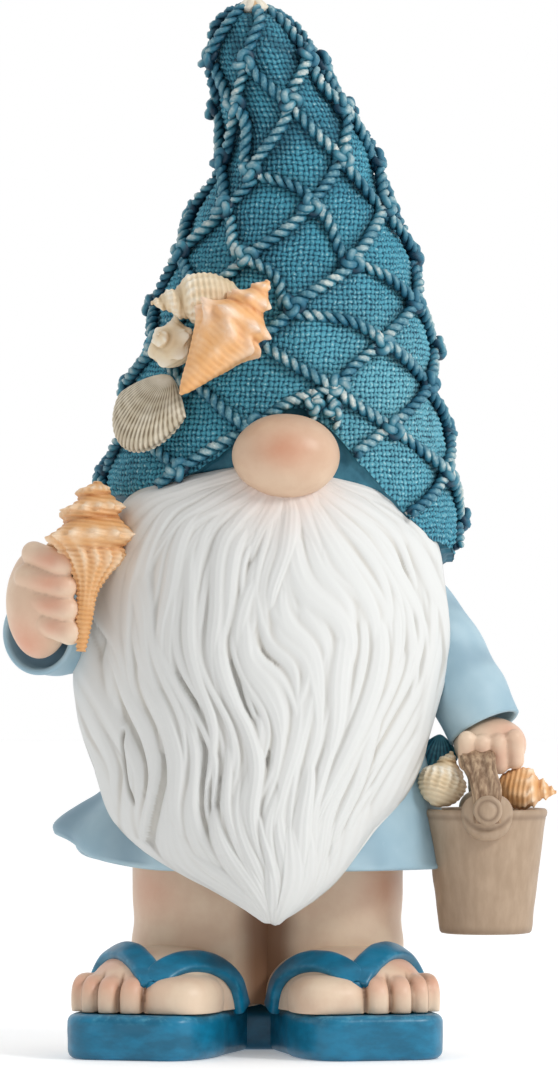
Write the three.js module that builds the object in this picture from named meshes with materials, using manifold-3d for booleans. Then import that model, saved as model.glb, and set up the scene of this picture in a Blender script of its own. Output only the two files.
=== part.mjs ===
// Garden gnome cast in resin: netted cone hat with shells, round nose, long beard,
// tunic, a conch in the right hand, a bucket of shells in the left, and flip-flops.
// Millimetres, +Z up, front facing -Y. Left and right are the gnome's own.
import * as THREE from 'three';
import { mergeVertices } from 'three/addons/utils/BufferGeometryUtils.js';
import Module from 'manifold-3d';

const wasm = await Module();
wasm.setup();

// Driving dimensions
const TOTAL_HEIGHT = 330;
const GAP = 0.35;
const DEGREE = Math.PI / 180;
const FRONT = -90 * DEGREE;

const HAT_TOP = 326;
const HAT_DEPTH_RATIO = 0.92;
const BRIM_LOWEST = 156;
const BRIM_MIDDLE = 168;

const NET_KNOTS_PER_RING = 7;
const NET_CORD_WIDTH = 3.2;
const NET_CLEARANCE = 1.4;
const NET_PHASE = 7 * DEGREE;
const NET_TWIST_PER_RING = 1.2 * DEGREE;

const NOSE_CENTRE = new THREE.Vector3(1.7, -51, 187.2);
const NOSE_RADII = new THREE.Vector3(16.7, 14.5, 13.2);

const BODY_X = -5;
const BODY_Y = 3;
const BODY_DEPTH_RATIO = 0.82;
const HEM_HEIGHT = 58;
const TUNIC_TOP = 168;
const TUNIC_HOLLOW_TOP = 67;
const HEAD_CENTRE = new THREE.Vector3(-1, 0, 186);
const HEAD_RADII = new THREE.Vector3(40, 36, 46);

const LEG_RADIUS = 20.9;
const LEG_Y = 2;
const ANKLE_HEIGHT = 40;
const SOLE_HALF_WIDTH = 23;
const SOLE_TOE = -63;
const SOLE_HEEL = 28;
const RIGHT = { name: 'right', inner: 1, legX: -25.4, footX: -29, turn: -18 * DEGREE };
const LEFT = { name: 'left', inner: -1, legX: 17.2, footX: 15.5, turn: 15 * DEGREE };
const SOLE_THICKNESS = 14;
const SOLE_BEVEL = 2.5;

const BUCKET_X = 64.5;
const BUCKET_Y = -14;
const BUCKET_TOP = 76.6;
const BUCKET_BOTTOM = 37.5;
const BUCKET_TOP_RADIUS = 19.2;
const BUCKET_BOTTOM_RADIUS = 14.5;
const BAIL_WIDTH = 8.5;
const BAIL_THICKNESS = 3.6;
const PIN_HEIGHT = 76.9;

// Shared helpers

// Smooth curve through rows of [height, value, value, ...] with rising heights.
function smoothTable(rows) {
  const slope = (i, column) => {
    const low = rows[Math.max(i - 1, 0)];
    const high = rows[Math.min(i + 1, rows.length - 1)];
    return (high[column] - low[column]) / (high[0] - low[0]);
  };
  return (height, column = 1) => {
    const clamped = Math.min(Math.max(height, rows[0][0]), rows[rows.length - 1][0]);
    let i = 0;
    while (i < rows.length - 2 && clamped > rows[i + 1][0]) {
      i += 1;
    }
    const span = rows[i + 1][0] - rows[i][0];
    const t = (clamped - rows[i][0]) / span;
    const t2 = t * t;
    const t3 = t2 * t;
    return (2 * t3 - 3 * t2 + 1) * rows[i][column]
      + (t3 - 2 * t2 + t) * span * slope(i, column)
      + (3 * t2 - 2 * t3) * rows[i + 1][column]
      + (t3 - t2) * span * slope(i + 1, column);
  };
}

function angleBetween(a, b) {
  return Math.atan2(Math.sin(a - b), Math.cos(a - b));
}

function bump(offset, width) {
  return Math.exp(-((offset / width) ** 2));
}

function warp(geometry, move) {
  const position = geometry.attributes.position;
  const point = new THREE.Vector3();
  for (let i = 0; i < position.count; i += 1) {
    point.fromBufferAttribute(position, i);
    move(point);
    position.setXYZ(i, point.x, point.y, point.z);
  }
  return geometry;
}

function signedVolume(position, triangles) {
  const a = new THREE.Vector3();
  const b = new THREE.Vector3();
  const c = new THREE.Vector3();
  let volume = 0;
  for (let i = 0; i < triangles.length; i += 3) {
    a.fromBufferAttribute(position, triangles[i]);
    b.fromBufferAttribute(position, triangles[i + 1]);
    c.fromBufferAttribute(position, triangles[i + 2]);
    volume += a.dot(b.cross(c)) / 6;
  }
  return volume;
}

// Closed solid with merged vertices, no collapsed triangles and outward faces.
function solidFrom(geometry) {
  const bare = geometry.clone();
  bare.deleteAttribute('normal');
  bare.deleteAttribute('uv');
  const merged = mergeVertices(bare, 1e-4);
  const index = merged.index.array;
  const triangles = [];
  for (let i = 0; i < index.length; i += 3) {
    const [a, b, c] = [index[i], index[i + 1], index[i + 2]];
    if (a !== b && b !== c && c !== a) {
      triangles.push(a, b, c);
    }
  }
  if (signedVolume(merged.attributes.position, triangles) < 0) {
    triangles.reverse();
  }
  return new wasm.Manifold(new wasm.Mesh({
    numProp: 3,
    vertProperties: new Float32Array(merged.attributes.position.array),
    triVerts: new Uint32Array(triangles),
  }));
}

function geometryFrom(solid) {
  const mesh = solid.getMesh();
  const geometry = new THREE.BufferGeometry();
  geometry.setAttribute('position', new THREE.BufferAttribute(mesh.vertProperties, 3));
  geometry.setIndex(new THREE.BufferAttribute(mesh.triVerts, 1));
  geometry.computeVertexNormals();
  return geometry;
}

function join(solids) {
  return solids.reduce((whole, next) => whole.add(next));
}

function cut(solid, tools) {
  return tools.reduce((rest, tool) => rest.subtract(tool), solid);
}

// The largest single body left after a cut.
function mainBody(solid) {
  const bodies = solid.decompose();
  return bodies.reduce((best, next) => (next.volume() > best.volume() ? next : best));
}

function ellipsoid(centre, radii, around = 16, down = 10) {
  const geometry = new THREE.SphereGeometry(1, around, down);
  geometry.scale(radii.x, radii.y, radii.z);
  geometry.translate(centre.x, centre.y, centre.z);
  return geometry;
}

function grown(radii, grow) {
  return radii.clone().addScalar(grow);
}

// A lathe of [radius, height] rows turned about the vertical axis.
function turned(rows, segments) {
  const points = rows.map(([radius, height]) => new THREE.Vector2(radius, height));
  return new THREE.LatheGeometry(points, segments).rotateX(90 * DEGREE);
}

// A round limb following a curve, its radius given along the length from 0 to 1.
function limb(curve, radiusAt, around, steps) {
  const frames = curve.computeFrenetFrames(steps, false);
  const geometry = new THREE.CylinderGeometry(1, 1, 1, around, steps);
  return warp(geometry, (point) => {
    const t = Math.min(Math.max(point.y + 0.5, 0), 1);
    const ring = Math.round(t * steps);
    const radius = radiusAt(t);
    const centre = curve.getPointAt(t);
    const side = frames.normals[ring].clone().multiplyScalar(point.x * radius);
    const up = frames.binormals[ring].clone().multiplyScalar(point.z * radius);
    point.copy(centre).add(side).add(up);
  });
}

function curveThrough(points) {
  return new THREE.CatmullRomCurve3(points.map((p) => new THREE.Vector3(...p)));
}

// A finger-like capsule between two points.
function finger(from, to, radius) {
  const start = new THREE.Vector3(...from);
  const end = new THREE.Vector3(...to);
  const axis = end.clone().sub(start);
  const geometry = new THREE.CapsuleGeometry(radius, axis.length(), 2, 7);
  const turn = new THREE.Quaternion().setFromUnitVectors(
    new THREE.Vector3(0, 1, 0),
    axis.clone().normalize(),
  );
  geometry.applyQuaternion(turn);
  const middle = start.add(end).multiplyScalar(0.5);
  return geometry.translate(middle.x, middle.y, middle.z);
}

// Moves a shape drawn about the origin, tip along +Z, to lean towards a direction.
function placed(geometry, centre, tip, roll = 0) {
  const turn = new THREE.Quaternion().setFromUnitVectors(
    new THREE.Vector3(0, 0, 1),
    new THREE.Vector3(...tip).normalize(),
  );
  geometry.rotateZ(roll);
  geometry.applyQuaternion(turn);
  return geometry.translate(...centre);
}

// Hat: a leaning cone, given as height, centre and half width
const hatShape = smoothTable([
  [150, 0.8, 54],
  [166, 0.5, 55.2],
  [181, 0.2, 55],
  [200, 0.2, 50],
  [225, 2.5, 44.6],
  [247, 3.4, 38.3],
  [264, 4.7, 31.4],
  [278, 5.2, 24.7],
  [291, 3.6, 21.6],
  [303, -1.3, 18.9],
  [314, -6, 15.5],
  [322, -8.4, 11],
  [326, -8.8, 7],
]);

function hatPoint(angle, height, grow) {
  const halfWidth = hatShape(height, 2);
  const x = hatShape(height, 1) + (halfWidth + grow) * Math.cos(angle);
  const y = (halfWidth * HAT_DEPTH_RATIO + grow) * Math.sin(angle);
  return new THREE.Vector3(x, y, height);
}

// The brim dips to the gnome's left and the back, and arches over the nose.
function brimHeight(angle) {
  const tilt = BRIM_MIDDLE - 9 * Math.cos(angle) - 11 * Math.sin(angle) - 3 * Math.cos(2 * angle);
  return tilt + 20 * bump(angleBetween(angle, FRONT - 2 * DEGREE), 17 * DEGREE);
}

// The hat is thick and seats on the head; its rings run from the brim to the top.
function hatSolid(grow) {
  const heights = [162, 170, 180, 191, 203, 215, 228, 241, 254, 266, 278, 290, 302, 311, 318, 323];
  const rows = [[0, BRIM_LOWEST - grow], [40, BRIM_LOWEST - grow]];
  [BRIM_LOWEST - grow, ...heights, HAT_TOP].forEach((height) => {
    rows.push([hatShape(height, 2) + grow, height]);
  });
  rows.push([0, HAT_TOP + grow]);
  return solidFrom(warp(turned(rows, 36), (point) => {
    const angle = Math.atan2(point.y, point.x);
    const radius = Math.hypot(point.x, point.y);
    const planned = hatShape(point.z, 2);
    const outward = Math.min(radius / planned, 1);
    const brim = BRIM_MIDDLE + (brimHeight(angle) - BRIM_MIDDLE) * outward ** 2;
    const rise = (point.z - BRIM_LOWEST) / (HAT_TOP - BRIM_LOWEST);
    const height = brim * (1 - rise) + HAT_TOP * rise;
    const fitted = radius + (hatShape(height, 2) - planned) * outward;
    const slim = (1 - HAT_DEPTH_RATIO) * fitted;
    point.x = hatShape(height, 1) + fitted * Math.cos(angle);
    point.y = (fitted - slim) * Math.sin(angle);
    point.z = height;
  }));
}

// Net: seven cords wind each way around the hat and are knotted where they cross
const ringHeight = smoothTable([
  [-2, 152],
  [-1, 167],
  [0, 182],
  [2, 210],
  [4, 237],
  [6, 266],
  [7, 281],
  [8, 298],
  [9, 312],
  [9.6, 319],
]);

function netAngle(halfStep, ring) {
  const spacing = 2 * Math.PI / NET_KNOTS_PER_RING;
  return FRONT + NET_PHASE + halfStep * spacing / 2 + (8 - ring) * NET_TWIST_PER_RING;
}

// The net is drawn flat, as a disc with its rings outwards in falling order.
const flatRadius = (ring) => 200 - 12 * ring;

function flatPoint(halfStep, ring) {
  const angle = halfStep * Math.PI / NET_KNOTS_PER_RING;
  const radius = flatRadius(ring);
  return new THREE.Vector2(radius * Math.cos(angle), radius * Math.sin(angle));
}

// A diamond opening between four knots, its corners cut off by the knots
function netOpening(halfStep, ring) {
  const half = Math.PI / NET_KNOTS_PER_RING * hatShape(ringHeight(ring), 2);
  const rise = (ringHeight(ring + 1) - ringHeight(ring - 1)) / 2;
  const size = 1 - NET_CORD_WIDTH / 2 * Math.hypot(half, rise) / (half * rise);
  const corners = [[1, 0], [0, 1], [-1, 0], [0, -1]];
  const opening = new THREE.Path();
  corners.forEach(([x, y], i) => {
    const [nextX, nextY] = corners[(i + 1) % 4];
    [0.1, 0.5, 0.9].forEach((t) => {
      const across = size * (x * (1 - t) + nextX * t);
      const up = size * (y * (1 - t) + nextY * t);
      const point = flatPoint(halfStep + across, ring + up);
      if (opening.curves.length === 0 && opening.currentPoint.length() === 0) {
        opening.moveTo(point.x, point.y);
      } else {
        opening.lineTo(point.x, point.y);
      }
    });
  });
  return opening;
}

function netOutline() {
  const outline = new THREE.Shape();
  for (let halfStep = 0; halfStep <= 28 * NET_KNOTS_PER_RING; halfStep += 7) {
    const point = flatPoint(halfStep / 14, -2.2);
    if (halfStep === 0) {
      outline.moveTo(point.x, point.y);
    } else {
      outline.lineTo(point.x, point.y);
    }
  }
  return outline;
}

// The top edge zigzags over the uppermost knots.
function netTopEdge() {
  const points = [];
  for (let halfStep = 0; halfStep < 2 * NET_KNOTS_PER_RING; halfStep += 1) {
    points.push(flatPoint(halfStep, halfStep % 2 === 0 ? 8.2 : 9.2));
    points.push(flatPoint(halfStep + 0.5, 8.72));
  }
  return new THREE.Path().setFromPoints(points);
}

// Everything under the brim, where the cords end
function underBrim() {
  const rows = [[20, -60], [20, 1.5], [75, 1.5], [75, -60], [20, -60]];
  return solidFrom(warp(turned(rows, 30), (point) => {
    point.z += brimHeight(Math.atan2(point.y, point.x));
  }));
}

function hatNet(tools) {
  const sheet = netOutline();
  for (let ring = -1; ring <= 8; ring += 1) {
    for (let strand = 0; strand < NET_KNOTS_PER_RING; strand += 1) {
      const halfStep = 2 * strand + (Math.abs(ring) % 2 === 0 ? 1 : 0);
      sheet.holes.push(netOpening(halfStep, ring));
    }
  }
  sheet.holes.push(netTopEdge());
  const flat = new THREE.ExtrudeGeometry(sheet, { depth: 1, steps: 1, bevelEnabled: false });
  const draped = warp(flat, (point) => {
    const ring = (200 - Math.hypot(point.x, point.y)) / 12;
    const halfStep = Math.atan2(point.y, point.x) * NET_KNOTS_PER_RING / Math.PI;
    const lift = NET_CLEARANCE + point.z * NET_CORD_WIDTH;
    point.copy(hatPoint(netAngle(halfStep, ring), ringHeight(ring), lift));
  });
  return mainBody(cut(solidFrom(draped), [underBrim(), ...tools]));
}

// Spired shell: a stepped spire, a knobbed shoulder and a long tapering siphon
function spiredShell(length, width, knobs, grow = 0) {
  const half = length / 2 + grow;
  const radius = width / 2;
  const rows = [
    [0, -half],
    [0.1 * radius + grow, -half + 0.04 * length],
    [0.34 * radius + grow, -0.3 * length],
    [0.72 * radius + grow, -0.12 * length],
    [0.95 * radius + grow, 0.06 * length],
    [radius + grow, 0.14 * length],
    [0.7 * radius + grow, 0.22 * length],
    [0.62 * radius + grow, 0.28 * length],
    [0.4 * radius + grow, 0.34 * length],
    [0.34 * radius + grow, 0.38 * length],
    [0.14 * radius + grow, 0.46 * length],
    [0, half],
  ];
  return warp(turned(rows, 14), (point) => {
    const angle = Math.atan2(point.y, point.x);
    const shoulder = bump(point.z - 0.13 * length, 0.1 * length);
    const swell = 1 + 0.1 * shoulder * Math.cos(knobs * angle);
    point.x *= swell;
    point.y *= swell;
  });
}

// Ribbed fan shell: a domed fan, narrow at the beak end, which points along +Z
function fanShell(length, width, depth, grow = 0) {
  const geometry = new THREE.SphereGeometry(1, 16, 10);
  return warp(geometry, (point) => {
    const along = (point.z + 1) / 2;
    const spread = 1 - 0.62 * along ** 2.2;
    point.x *= spread * (width / 2 + grow);
    point.y *= (0.55 + 0.45 * along) * (depth / 2 + grow);
    point.z *= length / 2 + grow;
  });
}

const hatConch = (grow) => solidFrom(placed(
  spiredShell(45, 21, 7, grow), [-17.4, -49.5, 224], [0.56, 0.22, 0.72], 20 * DEGREE,
));
const hatWhelk = (grow) => solidFrom(placed(
  spiredShell(28, 15.5, 9, grow), [-26.5, -38.5, 236.2], [-0.97, 0.3, -0.08], 10 * DEGREE,
));
const hatKnobShell = (grow) => solidFrom(placed(
  fanShell(15, 15, 12, grow), [-34.3, -37.5, 222.6], [0.5, -0.3, 0.8],
));
const hatCockle = (grow) => solidFrom(placed(
  fanShell(27.4, 20, 11, grow), [-41.6, -36.5, 201.5], [0.44, 0.34, 0.83], -38 * DEGREE,
));

// Tip knot: a small bundle of cord ends on the very top
function tipKnot(tools) {
  const radii = new THREE.Vector3(5.2, 4.8, 3.6);
  const bundle = ellipsoid(new THREE.Vector3(-8.8, 0, TOTAL_HEIGHT - 3.6), radii, 12, 8);
  return mainBody(cut(solidFrom(bundle), tools));
}

// Nose and head
const noseSolid = (grow) => solidFrom(ellipsoid(NOSE_CENTRE, grown(NOSE_RADII, grow), 18, 10));
const headSolid = (grow) => solidFrom(ellipsoid(HEAD_CENTRE, grown(HEAD_RADII, grow), 16, 10));

// Tunic: a bell hanging in folds, hollow below, with a lifted corner on its right
function foldedRadius(angle, height) {
  const loose = Math.max(0, 1 - (height - HEM_HEIGHT) / 60);
  const rightCorner = 8 * bump(angleBetween(angle, 187 * DEGREE), 16 * DEGREE);
  const leftCorner = 6 * bump(angleBetween(angle, -29 * DEGREE), 16 * DEGREE);
  const folds = 1.6 * Math.cos(7 * angle + 0.6);
  return loose * (rightCorner + leftCorner + folds);
}

function hemLift(angle, height) {
  const loose = Math.max(0, 1 - (height - HEM_HEIGHT) / 50);
  return loose * 10 * bump(angleBetween(angle, 187 * DEGREE), 22 * DEGREE);
}

function tunicSolid(grow) {
  const rows = [
    [0, TUNIC_HOLLOW_TOP - grow],
    [50 - grow, TUNIC_HOLLOW_TOP - grow],
    [53 - grow, HEM_HEIGHT - grow],
    [58 + grow, HEM_HEIGHT - grow],
    [57 + grow, 66],
    [55 + grow, 76],
    [52.5 + grow, 90],
    [50.5 + grow, 106],
    [49 + grow, 122],
    [48 + grow, 138],
    [45.5 + grow, 149],
    [40 + grow, 158],
    [26 + grow, 165],
    [0, TUNIC_TOP + grow],
  ];
  return solidFrom(warp(turned(rows, 40), (point) => {
    const angle = Math.atan2(point.y, point.x);
    const radius = Math.hypot(point.x, point.y);
    const fuller = radius < 0.01 ? 0 : radius + foldedRadius(angle, point.z);
    point.z += radius < 45 ? 0 : hemLift(angle, point.z);
    point.x = BODY_X + fuller * Math.cos(angle);
    point.y = BODY_Y + BODY_DEPTH_RATIO * fuller * Math.sin(angle);
  }));
}

// Beard: a full pillow hanging from under the nose to a point between the knees
const BEARD_CENTRE = new THREE.Vector2(-6, 118);
const beardOutline = new THREE.CatmullRomCurve3([
  [18, 181], [34, 177], [47, 166], [52, 143], [53, 127], [48, 106], [41, 84], [28, 70],
  [16, 54], [-2.3, 42], [-18, 51], [-38, 61], [-52, 72], [-58, 90], [-64, 106], [-65, 127],
  [-60, 150], [-49, 173], [-33, 179.5], [-8, 184],
].map(([x, z]) => new THREE.Vector3(x, 0, z)), true).getPoints(120);

function beardReach(angle) {
  const towards = new THREE.Vector2(Math.cos(angle), Math.sin(angle));
  let reach = 60;
  for (let i = 0; i + 1 < beardOutline.length; i += 1) {
    const a = new THREE.Vector2(beardOutline[i].x, beardOutline[i].z).sub(BEARD_CENTRE);
    const b = new THREE.Vector2(beardOutline[i + 1].x, beardOutline[i + 1].z).sub(BEARD_CENTRE);
    const crossA = towards.cross(a);
    const crossB = towards.cross(b);
    if (crossA * crossB <= 0 && crossA !== crossB && towards.dot(a) > 0) {
      reach = a.lerp(b, crossA / (crossA - crossB)).length();
    }
  }
  return reach;
}

function beardPillow(grow) {
  return solidFrom(warp(new THREE.SphereGeometry(1, 32, 14), (point) => {
    const spread = Math.min(Math.hypot(point.x, point.z), 1);
    const angle = Math.atan2(point.z, point.x);
    const reach = spread * (beardReach(angle) + grow);
    const x = BEARD_CENTRE.x + reach * Math.cos(angle);
    const z = BEARD_CENTRE.y + reach * Math.sin(angle);
    const low = Math.max(0, (90 - z) / 50);
    const wrap = -45 + 0.0088 * (x - BODY_X) ** 2 - 3 * low;
    const full = Math.sqrt(Math.max(0, 1 - spread ** 2.6));
    const front = 17 + grow;
    const back = 20 * (1 - low) + 5;
    point.set(x, wrap - full * (point.y < 0 ? front : -back), z);
  }));
}

// Arms, hands and what they hold
const rightSleeveCurve = curveThrough([
  [-34, 3, 140], [-52, 1, 136], [-67, -7, 132], [-75.5, -21, 132],
]);
const leftSleeveCurve = curveThrough([
  [32, 3, 148], [45, 0, 136], [56, -6, 119], [63.8, -11, 103],
]);

function sleeve(curve, cuffRadius, grow) {
  const radiusAt = (t) => 12.5 + (cuffRadius - 12.5) * t + grow;
  return solidFrom(limb(curve, radiusAt, 16, 8));
}

const heldConch = (grow) => solidFrom(placed(
  spiredShell(53.5, 25, 8, grow), [-59.5, -39, 153], [0.1, 0.12, 1], 12 * DEGREE,
));

function rightHandSolid(grow) {
  const palm = ellipsoid(
    new THREE.Vector3(-75.5, -27, 141.5),
    grown(new THREE.Vector3(10.5, 12, 17.5), grow),
    12,
    8,
  );
  const parts = [solidFrom(palm)];
  [155.5, 148.3, 141.1, 134].forEach((height, i) => {
    const tuck = [2, 0, 0.6, 2.4][i];
    parts.push(solidFrom(finger(
      [-80.5 + tuck, -33, height], [-68.5 + 0.8 * i, -41, height - 1], 3.9 + grow,
    )));
  });
  return join(parts);
}

function leftHandSolid(grow) {
  const palm = ellipsoid(
    new THREE.Vector3(66, BUCKET_Y + 0.5, 96.7),
    grown(new THREE.Vector3(11.6, 11, 8.9), grow),
    12,
    8,
  );
  const parts = [solidFrom(palm)];
  [58.2, 63.4, 68.6, 73.6].forEach((x, i) => {
    const drop = [0, 1, 0.8, -0.6][i];
    parts.push(solidFrom(finger(
      [x, BUCKET_Y - 9.6, 98.5 - drop], [x + 0.3, BUCKET_Y - 7.4, 91.4 - drop], 3 + grow,
    )));
  });
  return join(parts);
}

// Bucket: a tapered pail filled nearly to the rim
function bucketSolid(grow) {
  const rows = [
    [0, BUCKET_BOTTOM - grow],
    [BUCKET_BOTTOM_RADIUS + grow, BUCKET_BOTTOM - grow],
    [BUCKET_TOP_RADIUS + grow, BUCKET_TOP + grow],
    [BUCKET_TOP_RADIUS - 2.2 - grow, BUCKET_TOP + grow],
    [BUCKET_TOP_RADIUS - 2.8 - grow, BUCKET_TOP - 5 + grow],
    [0, BUCKET_TOP - 5 + grow],
  ];
  return solidFrom(turned(rows, 28).translate(BUCKET_X, BUCKET_Y, 0));
}

// Handle: a flat strap arching from the front pin to the back pin
function bailSolid(grow) {
  const reach = BUCKET_TOP_RADIUS + 4.6;
  const curve = curveThrough([
    [BUCKET_X, BUCKET_Y - reach, PIN_HEIGHT - 4],
    [BUCKET_X, BUCKET_Y - reach, PIN_HEIGHT + 3],
    [BUCKET_X, BUCKET_Y - 0.68 * reach, PIN_HEIGHT + 13],
    [BUCKET_X, BUCKET_Y, PIN_HEIGHT + 19.5],
    [BUCKET_X, BUCKET_Y + 0.68 * reach, PIN_HEIGHT + 13],
    [BUCKET_X, BUCKET_Y + reach, PIN_HEIGHT + 3],
    [BUCKET_X, BUCKET_Y + reach, PIN_HEIGHT - 4],
  ]);
  const steps = 20;
  const geometry = new THREE.BoxGeometry(1, 1, 1, 1, steps, 1);
  return solidFrom(warp(geometry, (point) => {
    const t = Math.min(Math.max(point.y + 0.5, 0), 1);
    const centre = curve.getPointAt(t);
    const tangent = curve.getTangentAt(t);
    const across = point.x * (BAIL_WIDTH + 2 * grow);
    const through = point.z * (BAIL_THICKNESS + 2 * grow);
    const outward = new THREE.Vector3(0, -tangent.z, tangent.y);
    point.copy(centre).addScaledVector(outward, through);
    point.x += across;
  }));
}

// Lug: a small rounded triangle on the pail wall, seen from the front
function lugSolid(side) {
  const shape = new THREE.Shape();
  shape.moveTo(-6, 3);
  shape.quadraticCurveTo(-4, -6, 0, -8.6);
  shape.quadraticCurveTo(4, -6, 6, 3);
  shape.lineTo(-6, 3);
  const geometry = new THREE.ExtrudeGeometry(shape, {
    depth: 6, steps: 1, curveSegments: 4, bevelEnabled: false,
  });
  geometry.translate(0, 0, -3).rotateX(90 * DEGREE);
  const out = side * (BUCKET_TOP_RADIUS - 0.6);
  geometry.translate(BUCKET_X, BUCKET_Y + out, PIN_HEIGHT);
  return cut(solidFrom(geometry), [bucketSolid(GAP), bailSolid(GAP)]);
}

function pinSolid(side) {
  const geometry = new THREE.CylinderGeometry(3.6, 4.2, 2.6, 14);
  if (side < 0) {
    geometry.rotateZ(180 * DEGREE);
  }
  const out = side * (BUCKET_TOP_RADIUS + 4.6 + BAIL_THICKNESS / 2 + 0.35 + 1.3);
  return solidFrom(geometry.translate(BUCKET_X, BUCKET_Y + out, PIN_HEIGHT));
}

const bucketCockle = (grow) => solidFrom(placed(
  fanShell(18, 15, 11, grow), [51.2, BUCKET_Y - 6.5, 86], [0.25, 0.2, 0.95], 15 * DEGREE,
));
const bucketAuger = (grow) => solidFrom(placed(
  spiredShell(19, 10.5, 6, grow), [77.4, BUCKET_Y - 5, 83], [0.9, -0.1, -0.28],
));
const bucketTealShell = (grow) => solidFrom(placed(
  fanShell(15, 10, 9, grow), [50, BUCKET_Y + 8.5, 92], [0.1, 0.3, 0.9],
));

// Legs, feet and flip-flops
function legSolid(side) {
  const rows = [
    [0, ANKLE_HEIGHT],
    [LEG_RADIUS - 1.6, ANKLE_HEIGHT],
    [LEG_RADIUS - 0.4, 52],
    [LEG_RADIUS, TUNIC_HOLLOW_TOP - GAP],
    [0, TUNIC_HOLLOW_TOP - GAP],
  ];
  return solidFrom(turned(rows, 24).translate(side.legX, LEG_Y, 0));
}

// Turns a shape drawn with the toes towards -Y, and the big toe towards +X, into place.
function standing(geometry, side) {
  if (side.inner < 0) {
    geometry.scale(-1, 1, 1);
  }
  return geometry.rotateZ(side.turn).translate(side.footX, LEG_Y, 0);
}

function toeEllipsoids(grow) {
  const toes = [
    [13.4, -43.5, 9.6, 14],
    [-0.4, -50.5, 4.4, 8],
    [-8.2, -50.5, 4, 7.5],
    [-14.9, -48.5, 3.6, 7],
    [-19.8, -44.5, 3, 6],
  ];
  return toes.map(([x, y, halfWidth, halfLength]) => ellipsoid(
    new THREE.Vector3(x, y, SOLE_THICKNESS + 4.4),
    grown(new THREE.Vector3(halfWidth, halfLength, 7.4), grow),
    8,
    6,
  ));
}

function footSolid(side, grow) {
  const ankle = turned([
    [0, SOLE_THICKNESS - 1],
    [17 + grow, SOLE_THICKNESS - 1],
    [18.4 + grow, 26],
    [LEG_RADIUS - 1.6 + grow, ANKLE_HEIGHT - GAP + grow],
    [0, ANKLE_HEIGHT - GAP + grow],
  ], 20).translate(side.legX, LEG_Y, 0);
  const instep = ellipsoid(
    new THREE.Vector3(0, -17, SOLE_THICKNESS),
    grown(new THREE.Vector3(22, 38, 22), grow),
    16,
    8,
  );
  const parts = [instep, ...toeEllipsoids(grow)].map((part) => standing(part, side));
  const whole = join([ankle, ...parts].map(solidFrom));
  return cut(whole, [slabBelow(SOLE_THICKNESS + GAP - grow)]);
}

// Sole: a thick slab, blunt at the toes and rounder at the heel
function soleSolid(side) {
  const wide = SOLE_HALF_WIDTH;
  const shape = new THREE.Shape();
  shape.moveTo(0, SOLE_HEEL);
  shape.bezierCurveTo(wide + 2, SOLE_HEEL, wide - 5, -8, wide, -34);
  shape.bezierCurveTo(wide + 1.5, SOLE_TOE + 7, wide - 4, SOLE_TOE, wide - 13, SOLE_TOE);
  shape.lineTo(13 - wide, SOLE_TOE);
  shape.bezierCurveTo(4 - wide, SOLE_TOE, -wide - 1.5, SOLE_TOE + 7, -wide, -34);
  shape.bezierCurveTo(5 - wide, -8, -wide - 2, SOLE_HEEL, 0, SOLE_HEEL);
  const geometry = new THREE.ExtrudeGeometry(shape, {
    depth: SOLE_THICKNESS - 2 * SOLE_BEVEL,
    curveSegments: 6,
    bevelSize: SOLE_BEVEL,
    bevelThickness: SOLE_BEVEL,
    bevelOffset: -SOLE_BEVEL,
    bevelSegments: 2,
  });
  return solidFrom(standing(geometry.translate(0, 0, SOLE_BEVEL), side));
}

// The bridge joins the inner sides of both soles near the heels.
function bridgeSolid(grow) {
  const height = SOLE_THICKNESS - 1;
  const geometry = new THREE.BoxGeometry(18 + 2 * grow, 34 + 2 * grow, height + 2 * grow);
  return solidFrom(geometry.translate(-6.5, 11, height / 2));
}

function slabBelow(height) {
  const geometry = new THREE.BoxGeometry(300, 300, 60);
  return solidFrom(geometry.translate(0, 0, height - 30));
}

// Strap: a rubber V from the post between the toes over the instep to each side
function strapSolid(side) {
  const arms = [
    [[4.5, -47, 25], [9.5, -41, 31], [16, -33, 31.5], [22, -25, 24], [23.5, -20, 13]],
    [[4.5, -47, 25], [-2, -40, 32.5], [-10, -32, 35.5], [-19, -23, 31], [-23, -18, 13]],
  ];
  const shapes = arms.map((points) => limb(curveThrough(points), () => 3.3, 8, 10));
  const post = turned([[0, 13], [2.4, 13], [3.2, 26], [0, 27]], 8).translate(4.5, -47, 0);
  const parts = [...shapes, post].map((part) => solidFrom(standing(part, side)));
  return mainBody(cut(join(parts), [footSolid(side, GAP), slabBelow(SOLE_THICKNESS + GAP)]));
}

// Painted resin finishes
function paint(name, color, roughness) {
  const material = new THREE.MeshStandardMaterial({ color, roughness, metalness: 0 });
  material.name = name;
  return material;
}

const paints = {
  hat: paint('hat_teal', 0x26708f, 0.75),
  net: paint('net_teal', 0x4b8fa3, 0.7),
  cream: paint('tip_cream', 0xe6ddc8, 0.7),
  beard: paint('beard_white', 0xebe9e4, 0.7),
  skin: paint('skin_peach', 0xe3bd9d, 0.55),
  tunic: paint('tunic_blue', 0x86a7bf, 0.6),
  conch: paint('shell_orange', 0xe8ad74, 0.6),
  shell: paint('shell_tan', 0xd9c29c, 0.65),
  coral: paint('shell_teal', 0x3f8a9c, 0.7),
  bucket: paint('bucket_tan', 0xaf957f, 0.7),
  bark: paint('handle_brown', 0x9a7f69, 0.8),
  sandal: paint('sandal_teal', 0x12608a, 0.5),
};

const gnome = new THREE.Group();

function addPiece(name, solid, material) {
  const mesh = new THREE.Mesh(geometryFrom(solid), material);
  mesh.name = name;
  gnome.add(mesh);
}

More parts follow.
